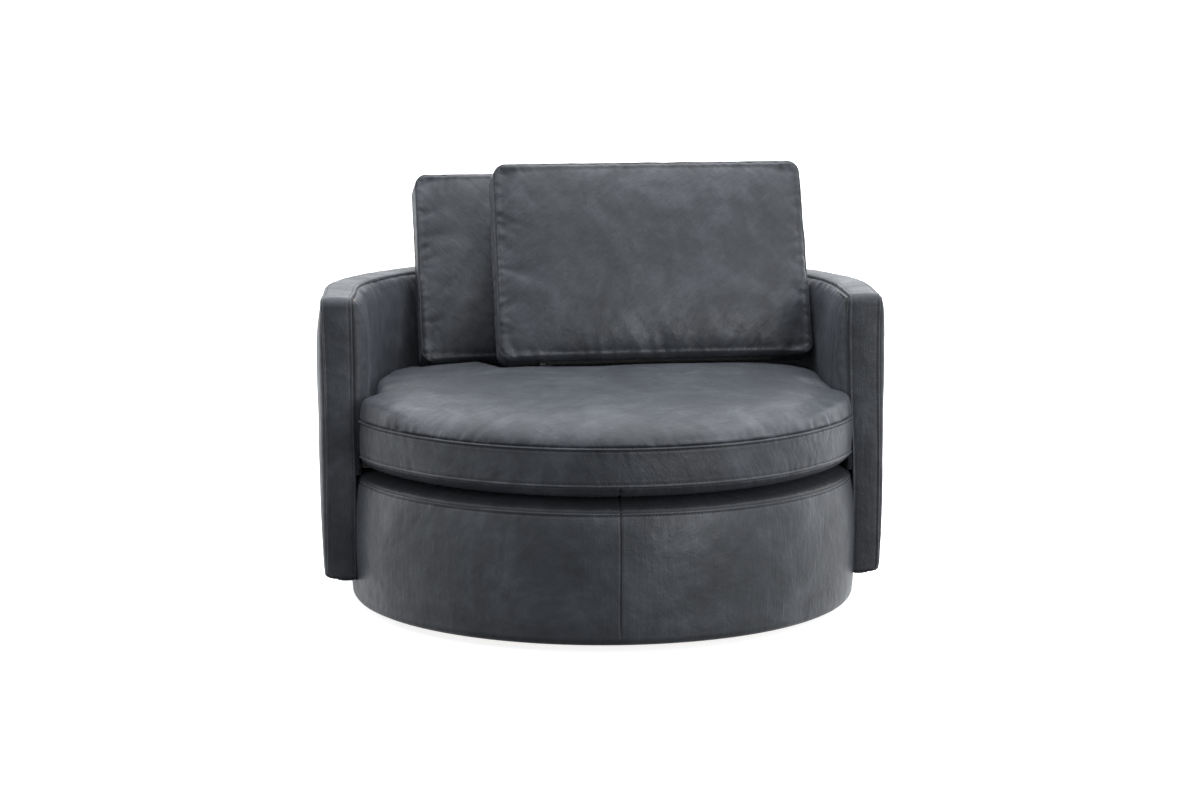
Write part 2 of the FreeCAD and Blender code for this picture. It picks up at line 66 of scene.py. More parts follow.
def curve(x, points):
    """A smooth line through (x, y) points, flat beyond the ends."""
    px = np.array([p[0] for p in points], float)
    py = np.array([p[1] for p in points], float)
    x = np.clip(np.asarray(x, float), px[0], px[-1])
    m = np.gradient(py, px)
    i = np.clip(np.searchsorted(px, x, side="right") - 1, 0, len(px) - 2)
    h = px[i + 1] - px[i]
    q = (x - px[i]) / h
    return (
        (2 * q**3 - 3 * q**2 + 1) * py[i]
        + (q**3 - 2 * q**2 + q) * h * m[i]
        + (-2 * q**3 + 3 * q**2) * py[i + 1]
        + (q**3 - q**2) * h * m[i + 1]
    )


class Noise:
    """Smooth value noise on a seeded lattice."""

    def __init__(self, seed):
        self.t = np.random.RandomState(seed).uniform(-1, 1, (32, 32, 32))

    def __call__(self, x, y, z=0.0):
        x, y, z = np.broadcast_arrays(np.asarray(x, float), np.asarray(y, float), np.asarray(z, float))
        f = []
        for v in (x, y, z):
            b = np.floor(v)
            q = v - b
            f.append((b.astype(int) % 32, (b.astype(int) + 1) % 32, q * q * (3 - 2 * q)))
        (x0, x1, fx), (y0, y1, fy), (z0, z1, fz) = f
        t = self.t
        a = t[x0, y0, z0] * (1 - fx) + t[x1, y0, z0] * fx
        b = t[x0, y1, z0] * (1 - fx) + t[x1, y1, z0] * fx
        c = t[x0, y0, z1] * (1 - fx) + t[x1, y0, z1] * fx
        d = t[x0, y1, z1] * (1 - fx) + t[x1, y1, z1] * fx
        return (a * (1 - fy) + b * fy) * (1 - fz) + (c * (1 - fy) + d * fy) * fz


def fbm(seed, x, y, z, size, octaves=3):
    """Several sizes of noise, the largest of them size mm across."""
    out, a = 0.0, 1.0
    for k in range(octaves):
        n = Noise(seed + 17 * k)
        s = 2.0**k / size
        out = out + a * n(x * s + 3.1 * k, y * s + 7.7 * k, z * s + 1.3 * k)
        a *= 0.5
    return out


def folds(s, d, length, seed, pitch, amp, reach, slant=0.5, narrow=(0.16, 0.34), wrap=False):
    """Creases that start at a seam (d = 0) every pitch mm or so along s and run out into the panel."""
    rng = np.random.RandomState(seed)
    s, d = np.asarray(s, float), np.asarray(d, float)
    out = np.zeros(s.shape)
    near = d < reach * 2.2
    if not near.any():
        return out
    ss, dd = s[near], d[near]
    part = np.zeros(ss.shape)
    n = max(1, int(length / pitch))
    for k in range(n):
        s0 = (k + rng.uniform(0.1, 0.9)) * pitch
        a = amp * rng.uniform(0.35, 1.0) * (1 if rng.uniform() < 0.62 else -0.7)
        el = reach * rng.uniform(0.35, 1.25)
        sl = rng.uniform(-slant, slant)
        bend = rng.uniform(-0.35, 0.35) / reach
        w = pitch * rng.uniform(*narrow)
        q = dd / el
        off = ss - s0 - sl * dd - bend * dd * dd
        if wrap:
            off = (off + length / 2) % length - length / 2
        part -= a * np.exp(-((off / (w * (1 + 1.1 * q))) ** 2)) * np.exp(-1.7 * q * q)
    out[near] = part
    return out


def steps(marks, coarse):
    """Sample places from fine near the marked ones to coarse between them: marks is [(place, fine step)]."""
    out = []
    for (a, fa), (b, fb) in zip(marks[:-1], marks[1:]):
        left, right, x, st = [a], [b], a, fa
        y, sr = b, fb
        while y - x > (st + sr) * 0.5 + 1e-9:
            if st <= sr:
                x += st
                left.append(x)
                st = min(st * 1.28, coarse)
            else:
                y -= sr
                right.append(y)
                sr = min(sr * 1.28, coarse)
        if y - x < 0.35 * min(st, sr) and len(left) > 1:
            left.pop()
        out += left + right[::-1]
        out.pop()
    out.append(marks[-1][0])
    return np.array(sorted(set(out)))


# The two sides of a sewn seam, as height over the panel at distance d from the seam line. The lip is the side that is
# turned under and stitched down, the other one only rolls into the seam.
def lip(d, high=1.0):
    d = np.asarray(d, float)
    return high * (
        -2.4 * np.exp(-((d / 0.85) ** 2))
        + 1.7 * np.exp(-(((d - 2.9) / 2.0) ** 2))
        - 0.75 * np.exp(-(((d - 7.0) / 1.1) ** 2))
        + 0.3 * np.exp(-(((d - 10.5) / 2.5) ** 2))
    )


def roll(d, deep=2.6, wide=3.2):
    return -deep * np.exp(-((np.asarray(d, float) / wide) ** 2))


def shade_lip(d):
    d = np.asarray(d, float)
    return np.clip(0.7 * np.exp(-((d / 0.8) ** 2)) + 0.12 * np.exp(-(((d - 7.0) / 0.9) ** 2)), 0, 1)


def shade_roll(d):
    return np.clip(0.9 * np.exp(-((np.asarray(d, float) / 1.0) ** 2)), 0, 1)


def grid_faces(nu, nv, wrap=False):
    i = np.arange(nu if wrap else nu - 1)
    j = np.arange(nv - 1)
    i, j = np.meshgrid(i, j, indexing="ij")
    a, b = i * nv + j, ((i + 1) % nu) * nv + j
    return np.stack([a, b, b + 1, a + 1], -1).reshape(-1, 4)


def mesh(name, co, faces, body, material=None, pc=None, seam=None, stands_for=(), flip=False):
    """co in mm (n x 3), faces as lists of corners; pc is the place on the panel in mm, and the seam values are painted
    shade, how much the colour is darkened where a point lies in a seam's groove.
    """
    co = np.asarray(co, float).reshape(-1, 3) * 0.001
    me = bpy.data.meshes.new(name)
    if isinstance(faces, np.ndarray):
        f = faces[:, ::-1] if flip else faces
        k = f.shape[1]
        me.vertices.add(len(co))
        me.vertices.foreach_set("co", co.astype(np.float32).ravel())
        me.loops.add(f.size)
        me.loops.foreach_set("vertex_index", f.astype(np.int32).ravel())
        me.polygons.add(len(f))
        me.polygons.foreach_set("loop_start", np.arange(0, f.size, k, dtype=np.int32))
        me.update(calc_edges=True)
        me.validate()
    else:
        me.from_pydata(co.tolist(), [], [tuple(reversed(x)) if flip else tuple(x) for x in faces])
        me.update()
    me.polygons.foreach_set("use_smooth", np.ones(len(me.polygons), bool))
    # the seam attribute carries painted shade for the material's colour
    for key, values, kind in (("pc", pc, "FLOAT_VECTOR"), ("seam", seam, "FLOAT")):
        a = me.attributes.new(key, kind, "POINT")
        if kind == "FLOAT":
            v = np.zeros(len(co)) if values is None else np.asarray(values, float).ravel()
            a.data.foreach_set("value", v.astype(np.float32))
        else:
            v = co if values is None else np.asarray(values, float).reshape(-1, 3) * 0.001
            a.data.foreach_set("vector", v.astype(np.float32).ravel())
    ob = bpy.data.objects.new(name, me)
    bpy.context.scene.collection.objects.link(ob)
    if material is not None:
        me.materials.append(material)
    if body:
        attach(ob, body)
    if stands_for:
        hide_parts(*stands_for)
    return ob


def normals_of(p):
    """Normals of a grid of points (nu, nv, 3)."""
    a = np.gradient(p, axis=0)
    b = np.gradient(p, axis=1)
    n = np.cross(a, b)
    return n / np.maximum(np.linalg.norm(n, axis=-1, keepdims=True), 1e-9)


def stitches(name, lines, normal_of, body, material, pitch=7.2, length=4.2, radius=0.85, closed=False):
    """Short threads along the lines (arrays of points in mm), each lying in the surface."""
    ring = np.array([[0, math.cos(a), math.sin(a)] for a in np.arange(6) * math.pi / 3])
    t = np.array([-1.0, -0.72, 0.0, 0.72, 1.0])
    rr = np.array([0.12, 0.75, 1.0, 0.75, 0.12])
    unit = np.concatenate([np.stack([np.full(6, a), ring[:, 1] * r, ring[:, 2] * r], -1) for a, r in zip(t, rr)])
    f = []
    for k in range(4):
        for i in range(6):
            f.append([k * 6 + i, k * 6 + (i + 1) % 6, (k + 1) * 6 + (i + 1) % 6, (k + 1) * 6 + i])
    f = np.array(f)
    cos, fs, n = [], [], 0
    for line, normal in zip(lines, normal_of):
        line, normal = np.asarray(line, float), np.asarray(normal, float)
        seg = np.linalg.norm(np.diff(line, axis=0), axis=1)
        at = np.concatenate([[0], np.cumsum(seg)])
        total = at[-1]
        if total < pitch * 2:
            continue
        m = int(total / pitch)
        places = (np.arange(m) + 0.5) * total / m
        p = np.stack([np.interp(places, at, line[:, k]) for k in range(3)], -1)
        ahead = np.stack([np.interp(places + 1.0, at, line[:, k]) for k in range(3)], -1)
        back = np.stack([np.interp(places - 1.0, at, line[:, k]) for k in range(3)], -1)
        nn = np.stack([np.interp(places, at, normal[:, k]) for k in range(3)], -1)
        tt = ahead - back
        tt /= np.maximum(np.linalg.norm(tt, axis=1, keepdims=True), 1e-9)
        nn -= (nn * tt).sum(1, keepdims=True) * tt
        nn /= np.maximum(np.linalg.norm(nn, axis=1, keepdims=True), 1e-9)
        bb = np.cross(tt, nn)
        for k in range(m):
            v = (
                p[k]
                + nn[k] * 0.25
                + np.outer(unit[:, 0] * length / 2, tt[k])
                + np.outer(unit[:, 1] * radius, bb[k])
                + np.outer(unit[:, 2] * radius, nn[k])
            )
            cos.append(v)
            fs.append(f + n)
            n += len(v)
    return mesh(name, np.concatenate(cos), np.concatenate(fs), body, material)


# ------------------------------------------------------------------ materials
def nodes_of(name):
    m = bpy.data.materials.new(name)
    m.use_nodes = True
    nt = m.node_tree
    nt.nodes.clear()
    out = nt.nodes.new("ShaderNodeOutputMaterial")
    p = nt.nodes.new("ShaderNodeBsdfPrincipled")
    nt.links.new(p.outputs[0], out.inputs[0])
    return m, nt, p


def add(nt, kind, **values):
    n = nt.nodes.new(kind)
    for k, v in values.items():
        if k.startswith("_"):
            n.inputs[k[1:].replace("_", " ")].default_value = v
        else:
            setattr(n, k, v)
    return n


def ramp(nt, src, stops):
    r = nt.nodes.new("ShaderNodeValToRGB")
    e = r.color_ramp.elements
    while len(e) < len(stops):
        e.new(0.5)
    for k, (pos, col) in enumerate(stops):
        e[k].position = pos
        e[k].color = col if len(col) == 4 else (*col, 1)
    nt.links.new(src, r.inputs[0])
    return r.outputs[0]


def grey(v):
    return (v, v, v, 1)


def calc(nt, op, a, b=None, c=None, clamp=False):
    n = nt.nodes.new("ShaderNodeMath")
    n.operation = op
    n.use_clamp = clamp
    for i, v in enumerate((a, b, c)):
        if v is None:
            continue
        if isinstance(v, (int, float)):
            n.inputs[i].default_value = v
        else:
            nt.links.new(v, n.inputs[i])
    return n.outputs[0]


def blend_colour(nt, fac, a, b, mode="MIX"):
    n = nt.nodes.new("ShaderNodeMix")
    n.data_type = "RGBA"
    n.blend_type = mode
    for sock, v in ((n.inputs[0], fac), (n.inputs[6], a), (n.inputs[7], b)):
        if isinstance(v, (int, float)):
            sock.default_value = v
        elif isinstance(v, tuple):
            sock.default_value = v if len(v) == 4 else (*v, 1)
        else:
            nt.links.new(v, sock)
    return n.outputs[2]


def noise(nt, vec, scale, detail=3.0, rough=0.55, distort=0.0):
    n = add(nt, "ShaderNodeTexNoise", _Scale=scale, _Detail=detail, _Roughness=rough, _Distortion=distort)
    nt.links.new(vec, n.inputs["Vector"])
    return n.outputs["Fac"]


def mapped(nt, vec, scale=(1, 1, 1), rotate=(0, 0, 0), place=(0, 0, 0)):
    n = nt.nodes.new("ShaderNodeMapping")
    n.inputs["Scale"].default_value = scale
    n.inputs["Rotation"].default_value = rotate
    n.inputs["Location"].default_value = place
    nt.links.new(vec, n.inputs["Vector"])
    return n.outputs[0]


DARK = (0.0240, 0.0262, 0.0306)
MID = (0.0450, 0.0490, 0.0571)
LIGHT = (0.0850, 0.0920, 0.1060)


def leather(name, place=(0, 0, 0), streak=1.0, lighter=1.0, angle=0.0):
    m, nt, p = nodes_of(name)
    tex = nt.nodes.new("ShaderNodeTexCoord").outputs["Object"]
    obj = mapped(nt, tex, place=place)
    pc = add(nt, "ShaderNodeAttribute", attribute_name="pc").outputs["Vector"]
    seam = add(nt, "ShaderNodeAttribute", attribute_name="seam").outputs["Fac"]
    # clouds, where the waxed finish has been pulled or pressed
    cloud = noise(nt, obj, 5.2, 5.0, 0.62, 0.9)
    cloud = ramp(nt, cloud, [(0.38, grey(0)), (0.62, grey(1))])
    patch = noise(nt, mapped(nt, obj, place=(3, 1, 7)), 19.0, 5.0, 0.6, 0.5)
    patch = ramp(nt, patch, [(0.33, grey(0)), (0.7, grey(1))])
    # brushed hair-like streaks across the panel and a fine pore grain
    pcr = mapped(nt, pc, rotate=(0, 0, angle))
    long_ = noise(nt, mapped(nt, pcr, scale=(330, 42, 60)), 1.0, 3.0, 0.6, 0.25)
    wide = noise(nt, mapped(nt, pcr, scale=(85, 13, 20)), 1.0, 3.0, 0.6, 0.35)
    hair = calc(nt, "MULTIPLY_ADD", long_, 0.62, calc(nt, "MULTIPLY", wide, 0.38))
    pore = add(nt, "ShaderNodeTexVoronoi", _Scale=520.0, feature="F1")
    nt.links.new(obj, pore.inputs["Vector"])
    pore = pore.outputs["Distance"]
    tone = calc(nt, "MULTIPLY_ADD", cloud, 0.42, calc(nt, "MULTIPLY", patch, 0.26))
    tone = calc(nt, "ADD", tone, calc(nt, "MULTIPLY", calc(nt, "SUBTRACT", hair, 0.5), 1.05 * streak))
    tone = calc(nt, "ADD", tone, 0.14, clamp=True)
    # lighter below 1 makes darker copies of the same leather, which the platform and the back cushions use as painted
    # shade
    k = lambda c: tuple(x * lighter for x in c)
    col = ramp(nt, tone, [(0.0, k(DARK)), (0.5, k(MID)), (1.0, k(LIGHT))])
    # painted shade: the seam values darken the colour towards near-black in the seam and stitch grooves
    dark = calc(nt, "MULTIPLY", seam, 0.86)
    col = blend_colour(nt, dark, col, (0.004, 0.0045, 0.0055, 1))
    nt.links.new(col, p.inputs["Base Color"])
    rough = calc(nt, "MULTIPLY_ADD", cloud, -0.10, 0.47)
    rough = calc(nt, "ADD", rough, calc(nt, "MULTIPLY", calc(nt, "SUBTRACT", hair, 0.5), -0.22))
    rough = calc(nt, "ADD", rough, calc(nt, "MULTIPLY", patch, -0.05))
    rough = calc(nt, "MULTIPLY_ADD", seam, 0.25, rough, clamp=True)
    nt.links.new(rough, p.inputs["Roughness"])
    p.inputs["IOR"].default_value = 1.48
    p.inputs["Specular IOR Level"].default_value = 0.36
    p.inputs["Sheen Weight"].default_value = 0.05
    p.inputs["Sheen Roughness"].default_value = 0.45
    p.inputs["Sheen Tint"].default_value = (0.80, 0.86, 1.0, 1)
    b1 = add(nt, "ShaderNodeBump", _Strength=0.34, _Distance=0.0005)
    h = calc(nt, "MULTIPLY_ADD", long_, 1.0, calc(nt, "MULTIPLY", pore, 0.55))
    nt.links.new(h, b1.inputs["Height"])
    b2 = add(nt, "ShaderNodeBump", _Strength=0.5, _Distance=0.0035)
    h2 = noise(nt, mapped(nt, obj, place=(9, 4, 2)), 34.0, 4.0, 0.6, 0.3)
    h2 = calc(nt, "MULTIPLY_ADD", wide, 0.5, h2)
    nt.links.new(h2, b2.inputs["Height"])
    nt.links.new(b1.outputs[0], b2.inputs["Normal"])
    nt.links.new(b2.outputs[0], p.inputs["Normal"])
    return m


def thread_material():
    m, nt, p = nodes_of("thread_black")
    obj = nt.nodes.new("ShaderNodeTexCoord").outputs["Object"]
    w = add(nt, "ShaderNodeTexWave", _Scale=900.0, _Distortion=1.5)
    w.bands_direction = "DIAGONAL"
    nt.links.new(obj, w.inputs["Vector"])
    nt.links.new(ramp(nt, w.outputs["Fac"], [(0, (0.004, 0.0045, 0.006)), (1, (0.016, 0.018, 0.022))]), p.inputs["Base Color"])
    p.inputs["Roughness"].default_value = 0.62
    b = add(nt, "ShaderNodeBump", _Strength=0.3, _Distance=0.0002)
    nt.links.new(w.outputs["Fac"], b.inputs["Height"])
    nt.links.new(b.outputs[0], p.inputs["Normal"])
    return m


def wood(name, light, dark, grain=(3, 26, 26), rough=0.62):
    m, nt, p = nodes_of(name)
    obj = nt.nodes.new("ShaderNodeTexCoord").outputs["Object"]
    a = noise(nt, mapped(nt, obj, scale=grain), 2.2, 6.0, 0.6, 1.2)
    b = noise(nt, mapped(nt, obj, scale=(grain[0] * 6, grain[1] * 9, grain[2] * 9)), 2.0, 4.0, 0.6)
    f = calc(nt, "MULTIPLY_ADD", a, 0.7, calc(nt, "MULTIPLY", b, 0.3))
    nt.links.new(ramp(nt, f, [(0.32, dark), (0.66, light)]), p.inputs["Base Color"])
    nt.links.new(calc(nt, "MULTIPLY_ADD", b, 0.2, rough - 0.1), p.inputs["Roughness"])
    bump = add(nt, "ShaderNodeBump", _Strength=0.3, _Distance=0.0006)
    nt.links.new(f, bump.inputs["Height"])
    nt.links.new(bump.outputs[0], p.inputs["Normal"])
    return m


def foam_material(name, light, dark, cell=420.0):
    m, nt, p = nodes_of(name)
    obj = nt.nodes.new("ShaderNodeTexCoord").outputs["Object"]
    v = add(nt, "ShaderNodeTexVoronoi", _Scale=cell, feature="F1")
    nt.links.new(obj, v.inputs["Vector"])
    n = noise(nt, obj, 22.0, 4.0)
    f = calc(nt, "MULTIPLY_ADD", v.outputs["Distance"], 0.7, calc(nt, "MULTIPLY", n, 0.4))
    nt.links.new(ramp(nt, f, [(0.15, dark), (0.75, light)]), p.inputs["Base Color"])
    nt.links.new(calc(nt, "MULTIPLY_ADD", n, 0.1, 0.86), p.inputs["Roughness"])
    b = add(nt, "ShaderNodeBump", _Strength=0.5, _Distance=0.001)
    nt.links.new(v.outputs["Distance"], b.inputs["Height"])
    nt.links.new(b.outputs[0], p.inputs["Normal"])
    return m


def cloth_material(name, light, dark, weave=900.0, rough=0.85):
    m, nt, p = nodes_of(name)
    obj = nt.nodes.new("ShaderNodeTexCoord").outputs["Object"]
    w1 = add(nt, "ShaderNodeTexWave", _Scale=weave / 6.283, _Distortion=0.6)
    w1.bands_direction = "X"
    w2 = add(nt, "ShaderNodeTexWave", _Scale=weave / 6.283, _Distortion=0.6)
    w2.bands_direction = "Y"
    for w in (w1, w2):
        nt.links.new(obj, w.inputs["Vector"])
    f = calc(nt, "MULTIPLY", w1.outputs["Fac"], w2.outputs["Fac"])
    n = noise(nt, obj, 60.0, 4.0)
    g = calc(nt, "MULTIPLY_ADD", f, 0.55, calc(nt, "MULTIPLY", n, 0.5))
    nt.links.new(ramp(nt, g, [(0.15, dark), (0.8, light)]), p.inputs["Base Color"])
    nt.links.new(calc(nt, "MULTIPLY_ADD", n, 0.12, rough - 0.06), p.inputs["Roughness"])
    p.inputs["Sheen Weight"].default_value = 0.15
    b = add(nt, "ShaderNodeBump", _Strength=0.4, _Distance=0.0006)
    nt.links.new(f, b.inputs["Height"])
    nt.links.new(b.outputs[0], p.inputs["Normal"])
    return m


def metal(name, light, dark, rough=0.35, scale=(40, 40, 40)):
    m, nt, p = nodes_of(name)
    obj = nt.nodes.new("ShaderNodeTexCoord").outputs["Object"]
    n = noise(nt, mapped(nt, obj, scale=scale), 3.0, 5.0, 0.6)
    nt.links.new(ramp(nt, n, [(0.35, dark), (0.65, light)]), p.inputs["Base Color"])
    nt.links.new(calc(nt, "MULTIPLY_ADD", n, 0.2, rough - 0.1), p.inputs["Roughness"])
    p.inputs["Metallic"].default_value = 1.0
    b = add(nt, "ShaderNodeBump", _Strength=0.15, _Distance=0.0003)
    nt.links.new(n, b.inputs["Height"])
    nt.links.new(b.outputs[0], p.inputs["Normal"])
    return m


def plastic(name, light, dark, rough=0.5):
    m, nt, p = nodes_of(name)
    obj = nt.nodes.new("ShaderNodeTexCoord").outputs["Object"]
    n = noise(nt, obj, 500.0, 3.0)
    nt.links.new(ramp(nt, n, [(0.35, dark), (0.65, light)]), p.inputs["Base Color"])
    nt.links.new(calc(nt, "MULTIPLY_ADD", n, 0.16, rough - 0.08), p.inputs["Roughness"])
    b = add(nt, "ShaderNodeBump", _Strength=0.25, _Distance=0.0003)
    nt.links.new(n, b.inputs["Height"])
    nt.links.new(b.outputs[0], p.inputs["Normal"])
    return m


M = {
    "drum": leather("leather_drum", (0.3, 0.1, 0.7), streak=0.2),
    "shell": leather("leather_shell", (1.7, 0.4, 0.2), streak=0.4),
    "inner": leather("leather_inner", (2.1, 1.9, 0.6), streak=0.8),
    # a copy of the same leather darkened to 0.36: painted shade for the platform's strip under the seat and for the
    # facing liners
    "platform": leather("leather_platform_shaded", (0.5, 0.9, 0.2), streak=0.35, lighter=0.36),
    "seat": leather("leather_seat", (0.9, 2.7, 1.1), streak=0.5, angle=0.6),
    # the back cushions' copies are darkened a little (0.88, 0.86) as painted shade
    "right": leather("leather_right_shaded", (4.2, 0.5, 3.3), streak=0.6, angle=0.9, lighter=0.88),
    "left": leather("leather_left_shaded", (5.1, 3.8, 0.9), streak=0.6, angle=-0.7, lighter=0.86),
    "thread": thread_material(),
}
CAD_LOOKS = {
    "plywood": wood("plywood_birch", (0.62, 0.45, 0.27), (0.40, 0.26, 0.14), (3, 3, 30)),
    "timber": wood("pine_timber", (0.66, 0.48, 0.28), (0.47, 0.31, 0.16), (26, 26, 2.5)),
    "hardboard": wood("hardboard_brown", (0.26, 0.16, 0.09), (0.17, 0.10, 0.055), (60, 60, 60), 0.75),
    "foam": foam_material("cut_foam", (0.80, 0.75, 0.58), (0.62, 0.57, 0.42)),
    "wadding": foam_material("white_wadding", (0.86, 0.86, 0.84), (0.68, 0.68, 0.66), 160.0),
    "fibre_filling": foam_material("fibre_filling", (0.86, 0.86, 0.84), (0.70, 0.70, 0.68), 120.0),
    "deck_fabric": cloth_material("deck_twill", (0.055, 0.058, 0.064), (0.018, 0.019, 0.022), 1400.0),
    "black_cambric": cloth_material("black_cambric", (0.030, 0.031, 0.034), (0.010, 0.010, 0.011), 2200.0),
    "zinc_steel": metal("zinc_plate", (0.66, 0.67, 0.69), (0.46, 0.47, 0.49), 0.42),
    "bearing_steel": metal("bearing_steel", (0.75, 0.76, 0.78), (0.62, 0.63, 0.65), 0.24),
    "spring_steel": metal("spring_steel", (0.30, 0.31, 0.33), (0.16, 0.165, 0.18), 0.45),
    "cage_plastic": plastic("acetal_white", (0.82, 0.81, 0.77), (0.70, 0.69, 0.65)),
    "glide_plastic": plastic("glide_black", (0.045, 0.046, 0.05), (0.02, 0.021, 0.024), 0.55),
    "zip_tape": cloth_material("zip_tape", (0.040, 0.042, 0.047), (0.012, 0.013, 0.015), 3200.0),
    "zip_metal": metal("gunmetal", (0.11, 0.112, 0.12), (0.055, 0.057, 0.062), 0.42),
    "leather": M["shell"],
    "piping_leather": M["seat"],
}
slot_of = {r["node"]: r["material_slot"] for r in frame["record"]["subparts"]}
for node_name, node_object in frame["nodes"].items():
    node_object.data.materials.clear()
    node_object.data.materials.append(CAD_LOOKS[slot_of[node_name]])


# ------------------------------------------------------------------ shell: strip, outer panels, inner panel
def arm_shift(p):
    """Both arms lean a little to the left of the drum's centre, fading out round the back."""
    p = np.array(p, float)
    p[..., 0] += ARM_SHIFT * (1 - smooth(p[..., 1], 40, 420))
    return p


def round_fold(p):
    """The panels beside the facing follow its rounded fold at the top of the arm's front."""
    p = np.array(p, float)
    cy, cz = FRONT_Y + 15.0, TOP_Z - 15.0
    dy, dz = p[..., 1] - cy, p[..., 2] - cz
    n = np.hypot(dy, dz)
    far = (dy < 0) & (dz > 0) & (n > 14.2)
    k = np.where(far, 14.2 / np.maximum(n, 1e-6), 1.0)
    p[..., 1], p[..., 2] = cy + dy * k, cz + dz * k
    return p


def tucked(p, n, seam, pc, ends=(True, False)):
    """A panel with its front and top edges carried on under the strip, so that no gap opens at the seam."""
    n = np.broadcast_to(n, p.shape)
    if ends[0]:
        p = np.concatenate([p[:1] - n[:1] * 8 + [0, 3, 0], p])
        n, seam, pc = np.concatenate([n[:1], n]), np.concatenate([seam[:1], seam]), np.concatenate([pc[:1], pc])
    if ends[1]:
        p = np.concatenate([p, p[-1:] - n[-1:] * 8 + [0, 3, 0]])
        n, seam, pc = np.concatenate([n, n[-1:]]), np.concatenate([seam, seam[-1:]]), np.concatenate([pc, pc[-1:]])
    p = np.concatenate([p, p[:, -1:] - n[:, -1:] * 8 + [0, 0, -3]], 1)
    return p, np.concatenate([seam, seam[:, -1:]], 1), np.concatenate([pc, pc[:, -1:]], 1)


def t_out(z, side):
    if side < 0:
        pts = [(71, 9.0), (210, 9.5), (347, 9.1), (495, 8.1), (575, 5.6), (642, 3.0)]
    else:
        pts = [(71, 8.2), (174, 7.4), (323, 7.5), (515, 11.4), (642, 10.5)]
    t = curve(z, pts)
    low = np.clip(93.0 - np.asarray(z, float), 0, 22)
    return t + 22 - np.sqrt(22.0**2 - low**2)


def t_in(z, side):
    if side < 0:
        pts = [(71, 72.0), (319, 72.0), (437, 69.6), (495, 69.3), (575, 68.8), (642, 68.0)]
    else:
        pts = [(71, 67.0), (311, 67.4), (422, 73.4), (497, 75.4), (586, 77.4), (642, 76.6)]
    return curve(z, pts)


def u_place(side, kind, at, t, h):
    """A point of the shell on that side (-1 left, 1 right): kind front (at = z), fold (at = angle), arm (at = y) or
    back (at = angle round from the side to the rear), t inwards from the outside, h off the surface."""
    rf = 15.0
    if kind == "front":
        return np.stack([side * (HALF_W - t), FRONT_Y - h, at + 0 * t], -1)
    if kind == "fold":
        r = rf + h
        return np.stack([side * (HALF_W - t), FRONT_Y + rf - r * math.cos(at), TOP_Z - rf + r * math.sin(at)], -1)
    if kind == "under":
        r = 6.0 + h
        return np.stack([side * (HALF_W - t), FRONT_Y + 6.0 - r * math.cos(at), BOTTOM_Z + 6.0 - r * math.sin(at)], -1)
    if kind == "arm":
        return np.stack([side * (HALF_W - t), at + 0 * t, TOP_Z + h], -1)
    r = HALF_W - t
    return np.stack([side * r * math.cos(at), YC + r * math.sin(at), TOP_Z + h], -1)


def u_stations(front=True):
    out = []
    if front:
        for a in (1.5, 1.0, 0.5):
            out.append(("under", a))
        for z in steps([(77.0, 2.5), (TOP_Z - 15.0, 3.0)], 6.0):
            out.append(("front", float(z)))
        for a in np.linspace(0, math.pi / 2, 9)[1:-1]:
            out.append(("fold", float(a)))
    for y in steps([(FRONT_Y + 15.0, 3.0), (YC, 5.0)], 6.0):
        out.append(("arm", float(y)))
    arc = steps([(0.0, 5.5), (HALF_W * math.pi / 2, 0.7)], 9.0)[1:]
    for s in arc:
        out.append(("back", float(s / HALF_W)))
    return out


